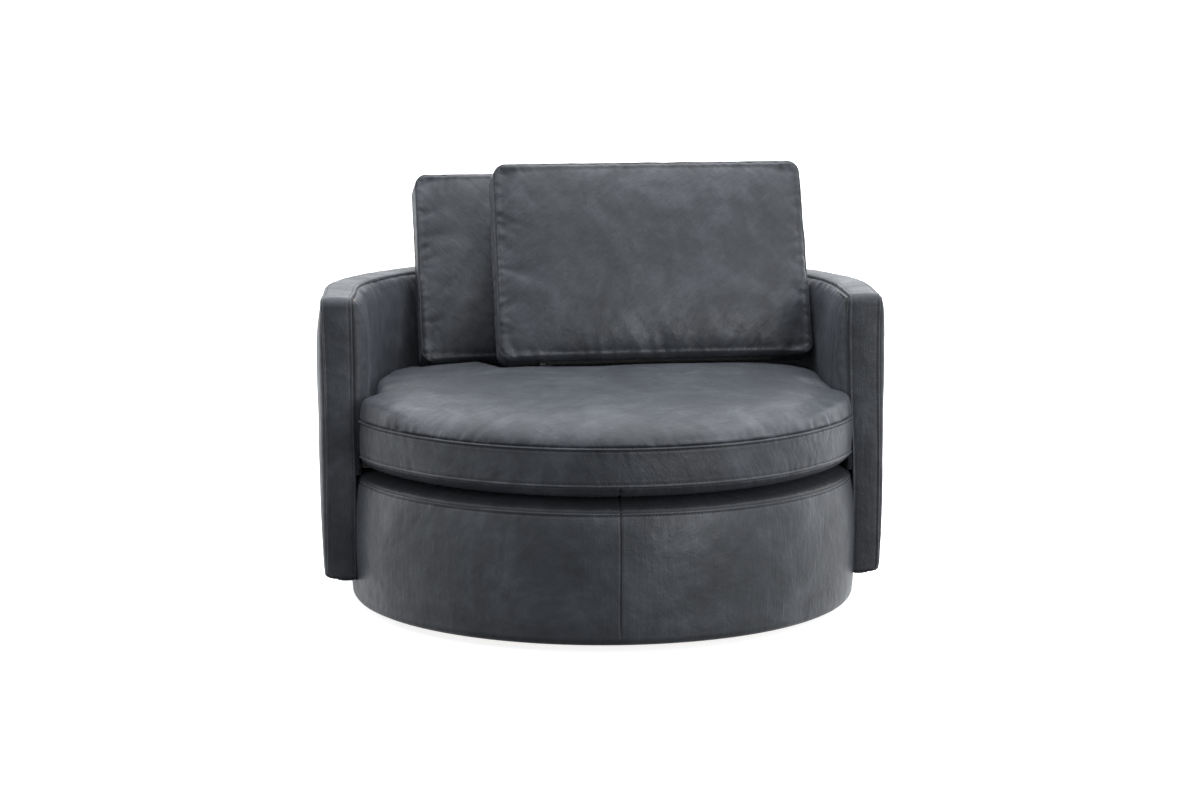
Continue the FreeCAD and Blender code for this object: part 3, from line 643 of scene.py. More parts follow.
inner_line = [(300, 84.0), (370, 93.5), (460, 99.0), (535, 100.0), (585, 97.5), (622, 90.0), (638, 82.0), (646, 74.5)]
threads_shell = []
threads_shell_n = []
for side, tag in ((-1, "left"), (1, "right")):
    st = u_stations()
    cross = steps([(0.0, 0.6), (66.0, 0.6)], 6.0) / 66.0
    rows, pcs, seams, along, run = [], [], [], [], 0.0
    last = None
    stitch_o, stitch_i, stitch_on = [], [], []
    for kind, at in st:
        if kind in ("front", "under"):
            z = at if kind == "front" else BOTTOM_Z
            a, b = float(t_out(z, side)), float(t_in(z, side))
            crown = 4.0
        elif kind == "fold":
            a, b, crown = float(t_out(642, side)), float(t_in(642, side)), 4.0 + 1.5 * at / 1.57
        elif kind == "arm":
            w = float(smooth(at, FRONT_Y, 30))
            a = float(t_out(642, side)) * (1 - w) + 7.0 * w
            b = float(t_in(642, side)) * (1 - w) + 75.0 * w
            crown = 5.5
        else:
            a, b, crown = 7.0, 75.0, 5.5
        t = a + cross * (b - a)
        width = b - a
        do, di = cross * width, (1 - cross) * width
        q = 2 * cross - 1
        mid = u_place(side, kind, at, np.array([40.0]), np.array([0.0]))[0]
        if last is not None:
            run += float(np.linalg.norm(mid - last))
        last = mid
        h = crown * (1 - np.abs(q) ** 2.4) ** 0.75
        if kind == "back":
            rear = (math.pi / 2 - at) * (HALF_W - 40)
        else:
            rear = 1e3
        h = h + roll(np.minimum(rear, 50) + 0 * t, 2.0, 2.2)
        h = h + lip(do) + lip(di)
        rows.append((kind, at, t, h, do, di, run, rear))
    length = rows[-1][6]
    P = np.zeros((len(rows), len(cross), 3))
    S = np.zeros((len(rows), len(cross)))
    PC = np.zeros((len(rows), len(cross), 3))
    for k, (kind, at, t, h, do, di, run, rear) in enumerate(rows):
        s = np.full(t.shape, run)
        h = h + 0.55 * fbm(11 + side, s, t, 0.0, 60.0, 3)
        h = h + folds(s, do, length, 21 + side, 34, 0.55, 16, 0.3) + folds(s, di, length, 31 + side, 30, 0.6, 18, 0.3)
        P[k] = u_place(side, kind, at, t, h)
        S[k] = np.maximum(np.maximum(shade_lip(do), shade_lip(di)), shade_roll(min(rear, 50.0)))
        PC[k, :, 0], PC[k, :, 1] = t, run
    P = arm_shift(P)
    f = grid_faces(len(rows), len(cross))
    # the part of the facing inside the drum is left off
    inside = (np.hypot(P[..., 0], P[..., 1]) < 521.5) & (P[..., 2] < 268)
    inside = inside.ravel()
    f = f[~inside[f].all(1)]
    ob = mesh("arm_strip_" + tag, P, f, "chair", M["shell"], PC, S,
              ("shell_strip_" + tag,) + (("arm_front_foams", "shell_top_foam") if side < 0 else ()), flip=side > 0)
    N = normals_of(P) * (1 if side < 0 else -1)
    for edge_d in (0, 1):
        k = np.argmin(np.abs((cross if edge_d == 0 else 1 - cross) * 66.0 - 7.0))
        line, nn = P[:, k], N[:, k]
        ok = ~((np.hypot(line[:, 0], line[:, 1]) < 525) & (line[:, 2] < 279))
        threads_shell.append(line[ok][2:])
        threads_shell_n.append(nn[ok][2:])

    # outer panel
    st = []
    for d in steps([(0.0, 0.6), (YC - FRONT_Y, 6.0)], 9.0):
        st.append(("arm", float(FRONT_Y + d), float(d)))
    for s in steps([(0.0, 7.0), (HALF_W * math.pi / 2, 0.6)], 14.0)[1:]:
        st.append(("back", float(s / HALF_W), float(YC - FRONT_Y + s)))
    zs = steps([(76.0, 4.0), (646.0, 0.6)], 13.0)
    low = [(36.0, 71.6), (24.0, 71.2), (15.0, 71.4), (10.5, 72.6), (8.0, 74.2)]
    P = np.zeros((len(st), len(zs) + len(low), 3))
    D = np.zeros(P.shape[:2])
    E = np.zeros(P.shape[:2])
    R = np.zeros(P.shape[:2])
    SS = np.zeros(P.shape[:2])
    for k, (kind, at, s) in enumerate(st):
        # fuller behind the front edge than at it, and round again to the plain radius at the back
        toe = float(smooth(s, 12, 160)) * (1 - 0.6 * float(smooth(s, 420, 900)))
        full = curve(zs, [(71, 5.5), (112, 2.0), (206, -0.5), (382, -1.5), (526, -2.5), (600, -0.5), (632, 3.2), (646, 8.0)])
        puff = curve(zs, [(71, 0), (133, -3.0), (258, -5.5), (382, -6.5), (560, -6.5), (646, 0)]) * toe
        t = full + puff
        # the front edge rounds over into the seam of the facing
        q = np.clip(s / 26.0, 0, 1)
        f0 = t_out(np.clip(zs, 71, 642), side)
        front = np.sqrt(1 - (1 - q) ** 2)
        t = f0 + (t - f0) * front
        lowt = np.array([a for a, _ in low]) + (t[0] - 6.0) + 4.0 * (1 - front)
        corner = np.clip(24.0 - s, 0, 24)
        t_all = np.concatenate([lowt, t])
        z_all = np.concatenate([np.array([b for _, b in low]), zs])
        z_all = np.where(np.arange(len(z_all)) < len(low), z_all + 0.0, z_all)
        d_top = np.maximum(646.0 - z_all, 0)
        h = roll(d_top, 1.6, 2.4) + roll(s + 0 * d_top, 2.2, 2.2)
        if kind == "back":
            rear = (math.pi / 2 - at) * HALF_W
        else:
            rear = 400.0
        h = h + lip(np.full(z_all.shape, min(rear, 40.0))) * (1 if side > 0 else 0) + (
            roll(min(rear, 40.0)) if side < 0 else 0
        )
        t_all = t_all - h
        r = HALF_W - t_all
        if kind == "arm":
            P[k] = np.stack([side * r, at + 0 * r, z_all], -1)
        else:
            P[k] = np.stack([side * r * math.cos(at), YC + r * math.sin(at), z_all], -1)
        D[k], E[k], R[k], SS[k] = d_top, s, rear, s
    length = st[-1][2]
    out_n = P - np.array([0, YC, 0]) * 1.0
    n = np.zeros_like(P)
    for k, (kind, at, s) in enumerate(st):
        n[k] = (side, 0, 0) if kind == "arm" else (side * math.cos(at), math.sin(at), 0)
    h = 1.1 * fbm(41 + side, SS, D, 0.0, 150.0, 3)
    h += folds(SS, D, length, 51 + side, 26, 0.9, 30, 0.25)
    h += folds(D, E, 600.0, 61 + side, 26, 0.9, 26, 0.4) * (E < 80)
    h *= smooth(P[..., 2], 71, 100)
    P = arm_shift(round_fold(P + n * h[..., None]))
    S = np.maximum(shade_roll(D), shade_roll(E))
    S = np.maximum(S, shade_lip(R) if side > 0 else shade_roll(R))
    S *= P[..., 2] > 74
    Q, S, pcs = tucked(P, n, S, np.stack([SS, D, 0 * D], -1))
    f = grid_faces(*Q.shape[:2])
    hidden = (np.hypot(Q[..., 0], Q[..., 1]) < 524) & (Q[..., 2] < 276)
    hidden = hidden.ravel()
    f = f[~hidden[f].all(1)]
    ob = mesh("shell_outer_" + tag, Q, f, "chair", M["shell"], pcs, S,
              ("shell_outer_cover_" + tag,) + (("shell_outer_wadding",) if side < 0 else ()), flip=side < 0)
    if side > 0:
        k = int(np.argmin(np.abs(R[:, 0] - 7.0)))
        N = np.broadcast_to(n[k], P[k].shape)
        threads_shell.append(P[k, len(low):-2])
        threads_shell_n.append(N[len(low):-2])

# inner panel, one grid right round
st = []
d = steps([(0.0, 0.5), (YC - FRONT_Y, 6.0)], 6.0)
for x in d:
    st.append((-1, "arm", float(FRONT_Y + x), float(x)))
arc = steps([(0.0, 6.0), (480 * math.pi, 6.0)], 7.0)[1:-1]
for s in arc:
    st.append((0, "back", math.pi - float(s / 480), float(s) + YC - FRONT_Y))
for x in d[::-1]:
    st.append((1, "arm", float(FRONT_Y + x), 2 * (YC - FRONT_Y) + 480 * math.pi - float(x)))
zs = steps([(287.0, 8.0), (646.5, 0.6)], 6.0)
P = np.zeros((len(st), len(zs), 3))
n = np.zeros_like(P)
E = np.zeros(P.shape[:2])
SS = np.zeros(P.shape[:2])
for k, (side, kind, at, s) in enumerate(st):
    base = curve(zs, [(287, 84.0)] + inner_line)
    if kind == "arm":
        e = at - FRONT_Y
        q = np.clip(e / 36.0, 0, 1)
        f0 = t_in(np.clip(zs, 71, 642), side)
        bulge = curve(np.array([e]), [(0, 0.0), (30, -1.0), (80, 1.5), (200, 0.0)])[0]
        t = f0 + (base + bulge - f0) * np.sqrt(1 - (1 - q) ** 2)
        top = (646.5 - zs)
        h = roll(np.full(zs.shape, e), 2.2, 2.0) + roll(top, 2.4, 2.6)
        t = t + h
        P[k] = np.stack([side * (HALF_W - t), at + 0 * t, zs], -1)
        n[k] = (-side, 0, 0)
        E[k] = e
    else:
        e = 400.0
        t = base + roll(646.5 - zs, 2.4, 2.6)
        r = HALF_W - t
        P[k] = np.stack([r * math.cos(at), YC + r * math.sin(at), zs], -1)
        n[k] = (-math.cos(at), -math.sin(at), 0)
        E[k] = e
    SS[k] = s
length = st[-1][3]
D = np.broadcast_to(646.5 - zs, SS.shape)
h = 1.3 * fbm(71, SS, D, 0.0, 120.0, 3)
h += folds(SS, D, length, 81, 12, 2.6, 48, 0.3)
h += folds(SS, D, length, 82, 20, 2.0, 150, 0.22, (0.12, 0.25))
h += folds(D, E, 360.0, 83, 20, 1.8, 34, 0.5)
P = arm_shift(round_fold(P + n * (h * smooth(E, 0, 12))[..., None]))
S = np.maximum(shade_roll(D), shade_roll(E))
Q, S, pcs = tucked(P, n, S, np.stack([SS, D, 0 * D], -1), (True, True))
ob = mesh("shell_inner_panel", Q, grid_faces(*Q.shape[:2]), "chair", M["inner"], pcs, S, ("shell_inner_cover", "shell_inner_foam"), flip=True)
shell_inner = P


# a liner under the facing's inner seam, round its fold at the top, in the darkened leather copy: painted shade that
# fills the seam gap
for side, tag in ((-1, "left"), (1, "right")):
    path = [(FRONT_Y + 3.0, float(z)) for z in np.linspace(300, TOP_Z - 15, 40)]
    path += [(FRONT_Y + 15 - 12.0 * math.cos(q), TOP_Z - 15 + 12.0 * math.sin(q)) for q in np.linspace(0.1, math.pi / 2, 12)]
    path += [(float(y), TOP_Z - 3.0) for y in np.linspace(FRONT_Y + 18, 20, 24)]
    path = np.array(path)
    t_ = np.linspace(-9, 7, 5)
    base_ = t_in(np.clip(path[:, 1], 71, 642), side)
    P = np.zeros((len(path), len(t_), 3))
    P[..., 0] = side * (HALF_W - base_[:, None] - t_[None, :]) + 0.3 * np.sin(path[:, 1:] / 9.0)
    P[..., 1], P[..., 2] = path[:, :1], path[:, 1:]
    ob = mesh("facing_liner_" + tag, arm_shift(P), grid_faces(*P.shape[:2]), "chair", M["platform"])


# ------------------------------------------------------------------ drum and platform
seam_lines, seam_normals = [], []
arc_front = steps([(0.0, 0.6), (800.0, 5.5)], 5.5)
arc_rear = steps([(800.0, 5.5), (527 * math.pi, 1.0)], 16.0)[1:]
arc_s = np.concatenate([arc_front, arc_rear])
fine_z = steps([(0.0, 0.6), (245.0, 5.0)], 5.5)            # down from the top seam
under = [(523.6, 30.0), (521.6, 25.0), (517.0, 19.6), (510.0, 16.2), (500.0, 14.4), (486.0, 14.0), (470.0, 14.0)]
for side, tag in ((-1, "left"), (1, "right")):
    a = arc_s / 527.0
    z = np.concatenate([279.0 - fine_z, [q[1] for q in under]])
    r = curve(279.0 - fine_z, [(34, 523.8), (60, 525.6), (100, 527.0), (170, 527.6), (225, 525.4), (262, 521.0), (279, 516.8)])
    r = np.concatenate([r, [q[0] for q in under]])
    A, Zz = np.meshgrid(a, z, indexing="ij")
    Rr = np.broadcast_to(r, A.shape)
    S_, D = A * 527.0, 279.0 - Zz
    centre = S_
    rear = 527 * math.pi - S_
    body_ = smooth(Zz, 14, 60)
    h = lip(D) * (D < 60)
    h = h + (roll(centre, 2.4, 2.3) + (0.5 if side < 0 else 0.25) * np.exp(-(((centre - 4.0) / 2.2) ** 2))) * body_
    h = h + roll(rear, 2.0, 2.4) * body_
    h = h + (1.2 * fbm(101 + side, S_, D, 0.0, 170.0, 4) + 0.35 * fbm(105 + side, S_, D, 0.0, 30.0, 2)) * body_
    h = h + folds(S_, D, 1660, 111 + side, 12.5, 1.35, 38, 0.22) * smooth(D, 5, 9)
    h = h + folds(S_, 250 - D, 1660, 121 + side, 18, 0.7, 26, 0.3) * smooth(250 - D, 2, 20)
    nr = 1.0 - 0.5 * smooth(40 - Zz, 0, 24)
    Rr = Rr + h * nr
    P = np.stack([side * Rr * np.sin(A), -Rr * np.cos(A), Zz], -1)
    f = grid_faces(*A.shape)
    hidden = ((P[..., 1] > -58) & (P[..., 2] > 104)).ravel()
    f = f[~hidden[f].all(1)]
    S = np.maximum(shade_lip(D) * (D < 60), shade_roll(centre) * body_)
    ob = mesh("drum_leather_" + tag, P, f, "chair", M["drum"], np.stack([side * S_, D, 0 * D], -1), S,
              ("drum_cover_" + tag,) + (("drum_foam",) if side < 0 else ()), flip=side > 0)
    k = int(np.argmin(np.abs(fine_z - 7.0)))
    keep_ = P[:, k, 1] < -112
    line = P[:, k][keep_]
    nn = np.stack([side * np.sin(a), -np.cos(a), 0 * a], -1)[keep_]
    seam_lines.append(line[2:])
    seam_normals.append(nn[2:])

    # the sloping strip behind the top seam
    a2 = steps([(0.0, 0.6), (519 * math.radians(84.0), 6.0)], 7.0) / 519.0
    run = steps([(0.0, 0.5), (124.0, 8.0)], 7.0)
    rr = 518.0 - run
    zz = curve(run, [(0, 279.6), (2.5, 282.4), (8, 285.6), (18, 288.6), (40, 292.8), (68, 298.2), (90, 300.4), (124, 300.6)])
    A, Ru = np.meshgrid(a2, run, indexing="ij")
    h = 1.0 * roll(Ru, 1.8, 1.6) + roll(A * 519, 2.0, 2.2) * smooth(Ru, 0, 4)
    h = h + 0.9 * fbm(131 + side, A * 519, Ru, 0.0, 90.0, 3) * smooth(Ru, 4, 20) * (1 - smooth(Ru, 60, 90))
    h = h + folds(A * 519, Ru, 720, 141 + side, 13, 0.8, 26, 0.25) * smooth(Ru, 2, 6)
    Rr = np.broadcast_to(rr, A.shape)
    P = np.stack([side * Rr * np.sin(A), -Rr * np.cos(A), np.broadcast_to(zz, A.shape) + h], -1)
    f = grid_faces(*A.shape)
    hidden = (P[..., 1] > -40).ravel()
    f = f[~hidden[f].all(1)]
    S = np.maximum(shade_roll(Ru), shade_roll(A * 519))
    # in the darkened leather copy, painted shade for the strip under the seat
    ob = mesh("platform_border_" + tag, P, f, "chair", M["platform"], np.stack([side * A * 519, Ru, 0 * Ru], -1), S,
              ("deck_border_" + tag,), flip=side < 0)


def reach(poly, angles):
    """Distance from the origin to the closed outline in each direction, angles from the front (-Y) towards +X."""
    poly = np.asarray(poly, float)
    p, q = poly, np.roll(poly, -1, axis=0)
    out = np.zeros(len(angles))
    for i, a in enumerate(angles):
        dx, dy = math.sin(a), -math.cos(a)
        ex, ey = (q - p)[:, 0], (q - p)[:, 1]
        den = dx * ey - dy * ex
        with np.errstate(divide="ignore", invalid="ignore"):
            t = (p[:, 0] * ey - p[:, 1] * ex) / den
            u = (p[:, 0] * dy - p[:, 1] * dx) / den
        ok = (t > 0) & (u >= -1e-9) & (u <= 1 + 1e-9)
        out[i] = t[ok].max() if ok.any() else 0
    return out


def u_outline(front_pts, side_r, side_l):
    """Front points run from the left corner to the right one; the sides and the rear arc close the outline."""
    pts = list(front_pts)
    for t in np.linspace(0, math.pi, 120):
        w = 0.5 + 0.5 * math.cos(t)
        r = side_r * w + side_l * (1 - w)
        pts.append((r * math.cos(t), YC + r * math.sin(t)))
    return pts


front = [(398 * math.sin(q), -398 * math.cos(q)) for q in np.radians(np.linspace(-75.5, 75.5, 60))]
outline = u_outline([(-503, -98)] + front + [(503, -98)], 503, 503)
ang = np.linspace(-math.pi, math.pi, 361)[:-1]
B = reach(outline, ang)
rho = np.concatenate([[0.004], np.linspace(0.02, 1, 60)])
A, Q = np.meshgrid(ang, rho, indexing="ij")
X, Y = B[:, None] * Q * np.sin(A), -B[:, None] * Q * np.cos(A)
Zd = 299.3 + 0.45 * fbm(151, X, Y, 0.0, 150.0, 2) + 0.25 * np.cos(X / 120.0 * 2 * math.pi) * (1 - Q**4)
P = np.stack([X, Y, Zd], -1)
ob = mesh("platform_cloth", P, grid_faces(*A.shape, wrap=True), "chair", CAD_LOOKS["deck_fabric"],
          np.stack([X, Y, 0 * X], -1), None, ("deck_cloth", "deck_pad"), flip=True)

# ------------------------------------------------------------------ back cushions
sa, ca = math.sin(TURN), math.cos(TURN)


def cushion_frame(lean):
    sb, cb = math.sin(lean), math.cos(lean)
    return (
        np.array([ca, sa, 0.0]),
        np.array([-sb * sa, sb * ca, cb]),
        np.array([-cb * sa, cb * ca, -sb]),
    )


CUSHIONS = {
    "right": (np.array([118.5, 171.0, 695.5]), math.radians(20.0)),
    "left": (np.array([-45.0, 341.0, 666.0]), math.radians(24.0)),
}


def rounded(u, v, w, h, r):
    """Where (u, v), each -1..1 over the square, lies in a rectangle with round corners."""
    x, y = u * w / 2, v * h / 2
    cx, cy = w / 2 - r, h / 2 - r
    ax, ay = np.abs(x), np.abs(y)
    # how far out towards the square's corner: pull points of the corner zone in along the diagonal
    px, py = np.clip(ax - cx, 0, None) / r, np.clip(ay - cy, 0, None) / r
    both = (px > 0) & (py > 0)
    m = np.maximum(px, py)
    n = np.hypot(px, py)
    k = np.where(both & (n > 0), m / np.maximum(n, 1e-9), 1.0)
    ax2 = np.where(both, cx + px * k * r, ax)
    ay2 = np.where(both, cy + py * k * r, ay)
    return np.sign(x) * ax2, np.sign(y) * ay2


def simulate(co, faces, pinned, frames=20, pressure=4.0, grow=0.0, bend=4.0, stiff=15.0, cap=14.0, part=0.42):
    """Blender's cloth on a closed mesh (mm), with pinned vertices; the result comes back in mm."""
    me = bpy.data.meshes.new("sim")
    me.from_pydata((co * 0.001).tolist(), [], faces.tolist())
    me.update()
    ob = bpy.data.objects.new("sim", me)
    bpy.context.scene.collection.objects.link(ob)
    vg = ob.vertex_groups.new(name="pin")
    for w in np.unique(pinned):
        if w > 0:
            vg.add(np.nonzero(pinned == w)[0].tolist(), float(w), "REPLACE")
    md = ob.modifiers.new("cloth", "CLOTH")
    s = md.settings
    s.quality = 5
    s.mass = 0.25
    s.tension_stiffness = s.compression_stiffness = stiff
    s.shear_stiffness = stiff * 0.5
    s.bending_stiffness = bend
    s.tension_damping = s.compression_damping = 8
    s.bending_damping = 0.6
    s.air_damping = 2.5
    s.use_pressure = True
    s.uniform_pressure_force = pressure
    s.shrink_min = grow
    s.vertex_group_mass = "pin"
    s.effector_weights.gravity = 0.0
    md.collision_settings.use_collision = False
    md.collision_settings.use_self_collision = False
    sc = bpy.context.scene
    md.point_cache.frame_start, md.point_cache.frame_end = 1, frames
    for fr in range(1, frames + 1):
        sc.frame_set(fr)
    dg = bpy.context.evaluated_depsgraph_get()
    e = ob.evaluated_get(dg)
    out = np.zeros(len(co) * 3, np.float32)
    e.data.vertices.foreach_get("co", out)
    out = out.reshape(-1, 3).astype(float) * 1000
    bpy.data.objects.remove(ob)
    sc.frame_set(1)
    d = out - co
    n = np.linalg.norm(d, axis=1, keepdims=True)
    return co + part * d * np.minimum(1, cap / np.maximum(n, 1e-6))


def pillow_shape(u, v, face, w, h, te, crown, corner):
    """Local (along, up, back) of a cushion's front (face -1) or back (+1) panel."""
    x, y = rounded(u, v, w, h, corner)
    x = x * (1 + 0.006 * (-y / h * 2))
    a, b = np.abs(x) / (w / 2), np.abs(y) / (h / 2)
    f = (np.clip(1 - a**4.2, 0, 1) ** 0.5) * (np.clip(1 - b**3.2, 0, 1) ** 0.5)
    return np.stack([x, y, np.where(face < 0, -1, 1) * (te / 2 + crown * f)], -1)


def back_cushion(tag, seed):
    centre, lean = CUSHIONS[tag]
    along, up, back = cushion_frame(lean)
    w, h, te, crown, corner = CUSH_W, CUSH_H, CUSH_TE, 36.0, 28.0
    # ---- the coarse closed form that the cloth is simulated on
    nu, nv, nb = 112, 72, 11
    u, v = np.linspace(-1, 1, nu), np.linspace(-1, 1, nv)
    U, Vv = np.meshgrid(u, v, indexing="ij")
    Fr = pillow_shape(U, Vv, -1, w, h, te, crown, corner)
    Bk = pillow_shape(U, Vv, 1, w, h, te, crown * 0.9, corner)
    idx = np.arange(nu * nv).reshape(nu, nv)
    loop = np.concatenate([idx[:-1, 0], idx[-1, :-1], idx[:0:-1, -1], idx[0, :0:-1]])
    m = len(loop)
    co = [Fr.reshape(-1, 3), Bk.reshape(-1, 3)]
    fr_loop, bk_loop = Fr.reshape(-1, 3)[loop], Bk.reshape(-1, 3)[loop]
    rng = Noise(seed)
    rows = [loop]
    for k in range(1, nb - 1):
        q = k / (nb - 1)
        base = fr_loop * (1 - q) + bk_loop * q
        out = base.copy()
        nrm = base[:, :2] / np.array([w / 2, h / 2])
        nrm = np.sign(nrm) * np.abs(nrm) ** 8
        nrm /= np.maximum(np.linalg.norm(nrm, axis=1, keepdims=True), 1e-9)
        out[:, :2] += nrm * 3.0 * math.sin(math.pi * q)
        rows.append(2 * nu * nv + (k - 1) * m + np.arange(m))
        co.append(out)
    rows.append(loop + nu * nv)
    co = np.concatenate(co)
    g = grid_faces(nu, nv)
    faces = [g, g[:, ::-1] + nu * nv]
    for r0, r1 in zip(rows[:-1], rows[1:]):
        faces.append(np.stack([r0, r1, np.roll(r1, -1), np.roll(r0, -1)], -1))
    faces = np.concatenate(faces)
    # a little unevenness for the cloth to buckle along
    start = co.copy()
    start[:, 2] += 0.5 * rng(co[:, 0] / 26, co[:, 1] / 26, co[:, 2] / 26) * np.sign(co[:, 2])
    pinned = np.zeros(len(co))
    pinned[loop] = 1.0
    pinned[loop + nu * nv] = 1.0
    co = simulate(start, faces, pinned)
    Fr = co[: nu * nv].reshape(nu, nv, 3)
    Bk = co[nu * nv : 2 * nu * nv].reshape(nu, nv, 3)
    Bd = co[np.stack(rows)]                                    # (nb, m, 3)
    return dict(Fr=Fr, Bk=Bk, Bd=Bd, u=u, v=v, loop=loop, along=along, up=up, back=back, centre=centre,
                w=w, h=h, te=te, nu=nu, nv=nv, seed=seed)


def cubic(g, t, wrap=False):
    """Catmull-Rom along the first axis of g at the places t, given in samples."""
    n = len(g)
    i = np.floor(t).astype(int)
    i = i % n if wrap else np.clip(i, 0, n - 2)
    q = (t - np.floor(t)) if wrap else (t - i)
    q = q.reshape((-1,) + (1,) * (g.ndim - 1))
    pick = (lambda k: g[(i + k) % n]) if wrap else (lambda k: g[np.clip(i + k, 0, n - 1)])
    p0, p1, p2, p3 = pick(-1), pick(0), pick(1), pick(2)
    if not wrap:
        first, last = (i == 0).reshape(q.shape), (i == n - 2).reshape(q.shape)
        p0 = np.where(first, 2 * p1 - p2, p0)
        p3 = np.where(last, 2 * p2 - p1, p3)
    return 0.5 * (2 * p1 + (p2 - p0) * q + (2 * p0 - 5 * p1 + 4 * p2 - p3) * q**2 + (3 * p1 - p0 - 3 * p2 + p3) * q**3)


def build_back_cushion(tag, seed, material):
    c = back_cushion(tag, seed)
    w, h, te, nu, nv = c["w"], c["h"], c["te"], c["nu"], c["nv"]
    place = lambda p: c["centre"] + p[..., :1] * c["along"] + p[..., 1:2] * c["up"] + (p[..., 2:3] + te / 2) * c["back"]
    body = "back_cushion_" + tag
    edge = steps([(0.0, 0.6), (w / 2, 4.0)], 4.0)
    us = np.concatenate([-w / 2 + edge, (w / 2 - edge)[::-1][1:]]) * 2 / w
    edge = steps([(0.0, 0.6), (h / 2, 4.0)], 4.0)
    vs = np.concatenate([-h / 2 + edge, (h / 2 - edge)[::-1][1:]]) * 2 / h
    out = []
    for k, (g, sgn) in enumerate(((c["Fr"], -1.0), (c["Bk"], 1.0))):
        g = g.copy()
        proud = (g[..., 2] * sgn - te / 2)
        limit = 38.0 if sgn < 0 else 33.0
        g[..., 2] = sgn * (te / 2 + proud * (limit / max(proud.max(), 1.0)))
        g[..., 1] = np.maximum(g[..., 1], -213.4)
        f = cubic(g, (us + 1) / 2 * (nu - 1))
        f = cubic(np.swapaxes(f, 0, 1), (vs + 1) / 2 * (nv - 1))
        f = np.swapaxes(f, 0, 1)
        U, V_ = np.meshgrid(us, vs, indexing="ij")
        x, y = U * w / 2, V_ * h / 2
        dl, dr, db, dt = x + w / 2, w / 2 - x, y + h / 2, h / 2 - y
        D = np.minimum(np.minimum(dl, dr), np.minimum(db, dt))
        hh = roll(D, 2.4, 2.4)
        calm = 1 - smooth(D, 60, 140) * 0.5
        amp = 2.1 if sgn < 0 else 1.0
        for j, (s, d, length) in enumerate(((y + h / 2, dl, h), (y + h / 2, dr, h), (x + w / 2, db, w), (x + w / 2, dt, w))):
            hh = hh + folds(s, d, length, seed + 200 + j + 10 * k, 15, amp, 34, 0.55)
            hh = hh + folds(s, d, length, seed + 300 + j + 10 * k, 34, amp * 1.25, 78, 0.6, (0.14, 0.26))
        hh = hh + 1.3 * fbm(seed + 5 + k, x, y, 0.0, 120.0, 3) * smooth(D, 3, 30) * calm
        hh = hh + 0.35 * fbm(seed + 9 + k, x, y, 0.0, 28.0, 2) * smooth(D, 3, 20)
        n = normals_of(f) * -sgn
        n = n * np.sign((n[..., 2:3] * sgn).mean() + 1e-9)
        hh = hh * (0.35 + 0.65 * smooth(D, 0, 8)) + 0 * D
        f = f + n * hh[..., None]
        f[..., 1] = np.maximum(f[..., 1], -213.4)
        S = shade_roll(D)
        out.append((f, S, np.stack([x, y, 0 * x], -1)))
    names = []
    for k, (f, S, pc) in enumerate(out):
        part = "front" if k == 0 else "rear"
        ob = mesh("cushion_%s_%s_panel" % (tag, part), place(f), grid_faces(*f.shape[:2]), body, material, pc, S,
                  ("back_cushion_cover_" + tag, "back_cushion_filling_" + tag) if k == 0 else (), flip=(k == 0))
    # border
    B = c["Bd"]
    m = B.shape[1]
    qd = steps([(0.0, 0.6), (te, 0.6)], 4.2)
    t = np.arange(0, m, 0.55)
    g = cubic(B, qd / te * (B.shape[0] - 1))
    g = np.swapaxes(cubic(np.swapaxes(g, 0, 1), t, wrap=True), 0, 1)         # (rows, around, 3)
    around = np.concatenate([[0], np.cumsum(np.linalg.norm(np.diff(g[0], axis=0), axis=1))])
    length = around[-1] + float(np.linalg.norm(g[0, 0] - g[0, -1]))
    s = np.broadcast_to(around, g.shape[:2])
    d0 = np.broadcast_to(qd[:, None], g.shape[:2])
    d1 = te - d0
    n = normals_of(np.concatenate([g[:, -2:], g, g[:, :2]], axis=1))[:, 2:-2]
    outwards = (n[..., :2] * g[..., :2]).sum() > 0
    n = n if outwards else -n
    hh = lip(d0) + lip(d1)
    stitched = np.exp(-(((d0 - 7.0) / 4.0) ** 2))
    hh = hh + folds(s, d0, length, seed + 401, 17, 2.7, 30, 0.8, (0.13, 0.26), wrap=True) * smooth(d0, 2, 7)
    hh = hh + folds(s, d1, length, seed + 402, 17, 2.4, 30, 0.8, (0.13, 0.26), wrap=True) * smooth(d1, 2, 7)
    hh = hh + folds(s, d0, length, seed + 403, 6.5, 0.45, 8, 0.5, (0.2, 0.3), wrap=True) * stitched
    hh = hh + 0.8 * fbm(seed + 11, g[..., 0], g[..., 1], g[..., 2], 40.0, 2)
    low = g[..., 1] < -210
    hh = np.where(low, np.minimum(hh, 0.0), hh)
    g2 = g + n * hh[..., None]
    g2[..., 1] = np.maximum(g2[..., 1], -213.4)
    S = np.maximum(shade_lip(d0), shade_lip(d1))
    ob = mesh("cushion_%s_border" % tag, place(g2.swapaxes(0, 1)), grid_faces(g2.shape[1], g2.shape[0], wrap=True), body,
              material, np.stack([d0, s, 0 * s], -1).swapaxes(0, 1), S.T, (), flip=outwards)
    lines, nn = [], []
    for dd in (7.0, te - 7.0):
        k = int(np.argmin(np.abs(qd - dd)))
        lines.append(place(np.concatenate([g2[k], g2[k, :1]])))
        q = np.concatenate([n[k], n[k, :1]])
        nn.append(q[:, :1] * c["along"] + q[:, 1:2] * c["up"] + q[:, 2:3] * c["back"])
    stitches("cushion_%s_stitches" % tag, lines, nn, body, M["thread"])
    return place(out[0][0]), c


back_parts = {}
back_parts["right"] = build_back_cushion("right", 1207, M["right"])
back_parts["left"] = build_back_cushion("left", 2311, M["left"])


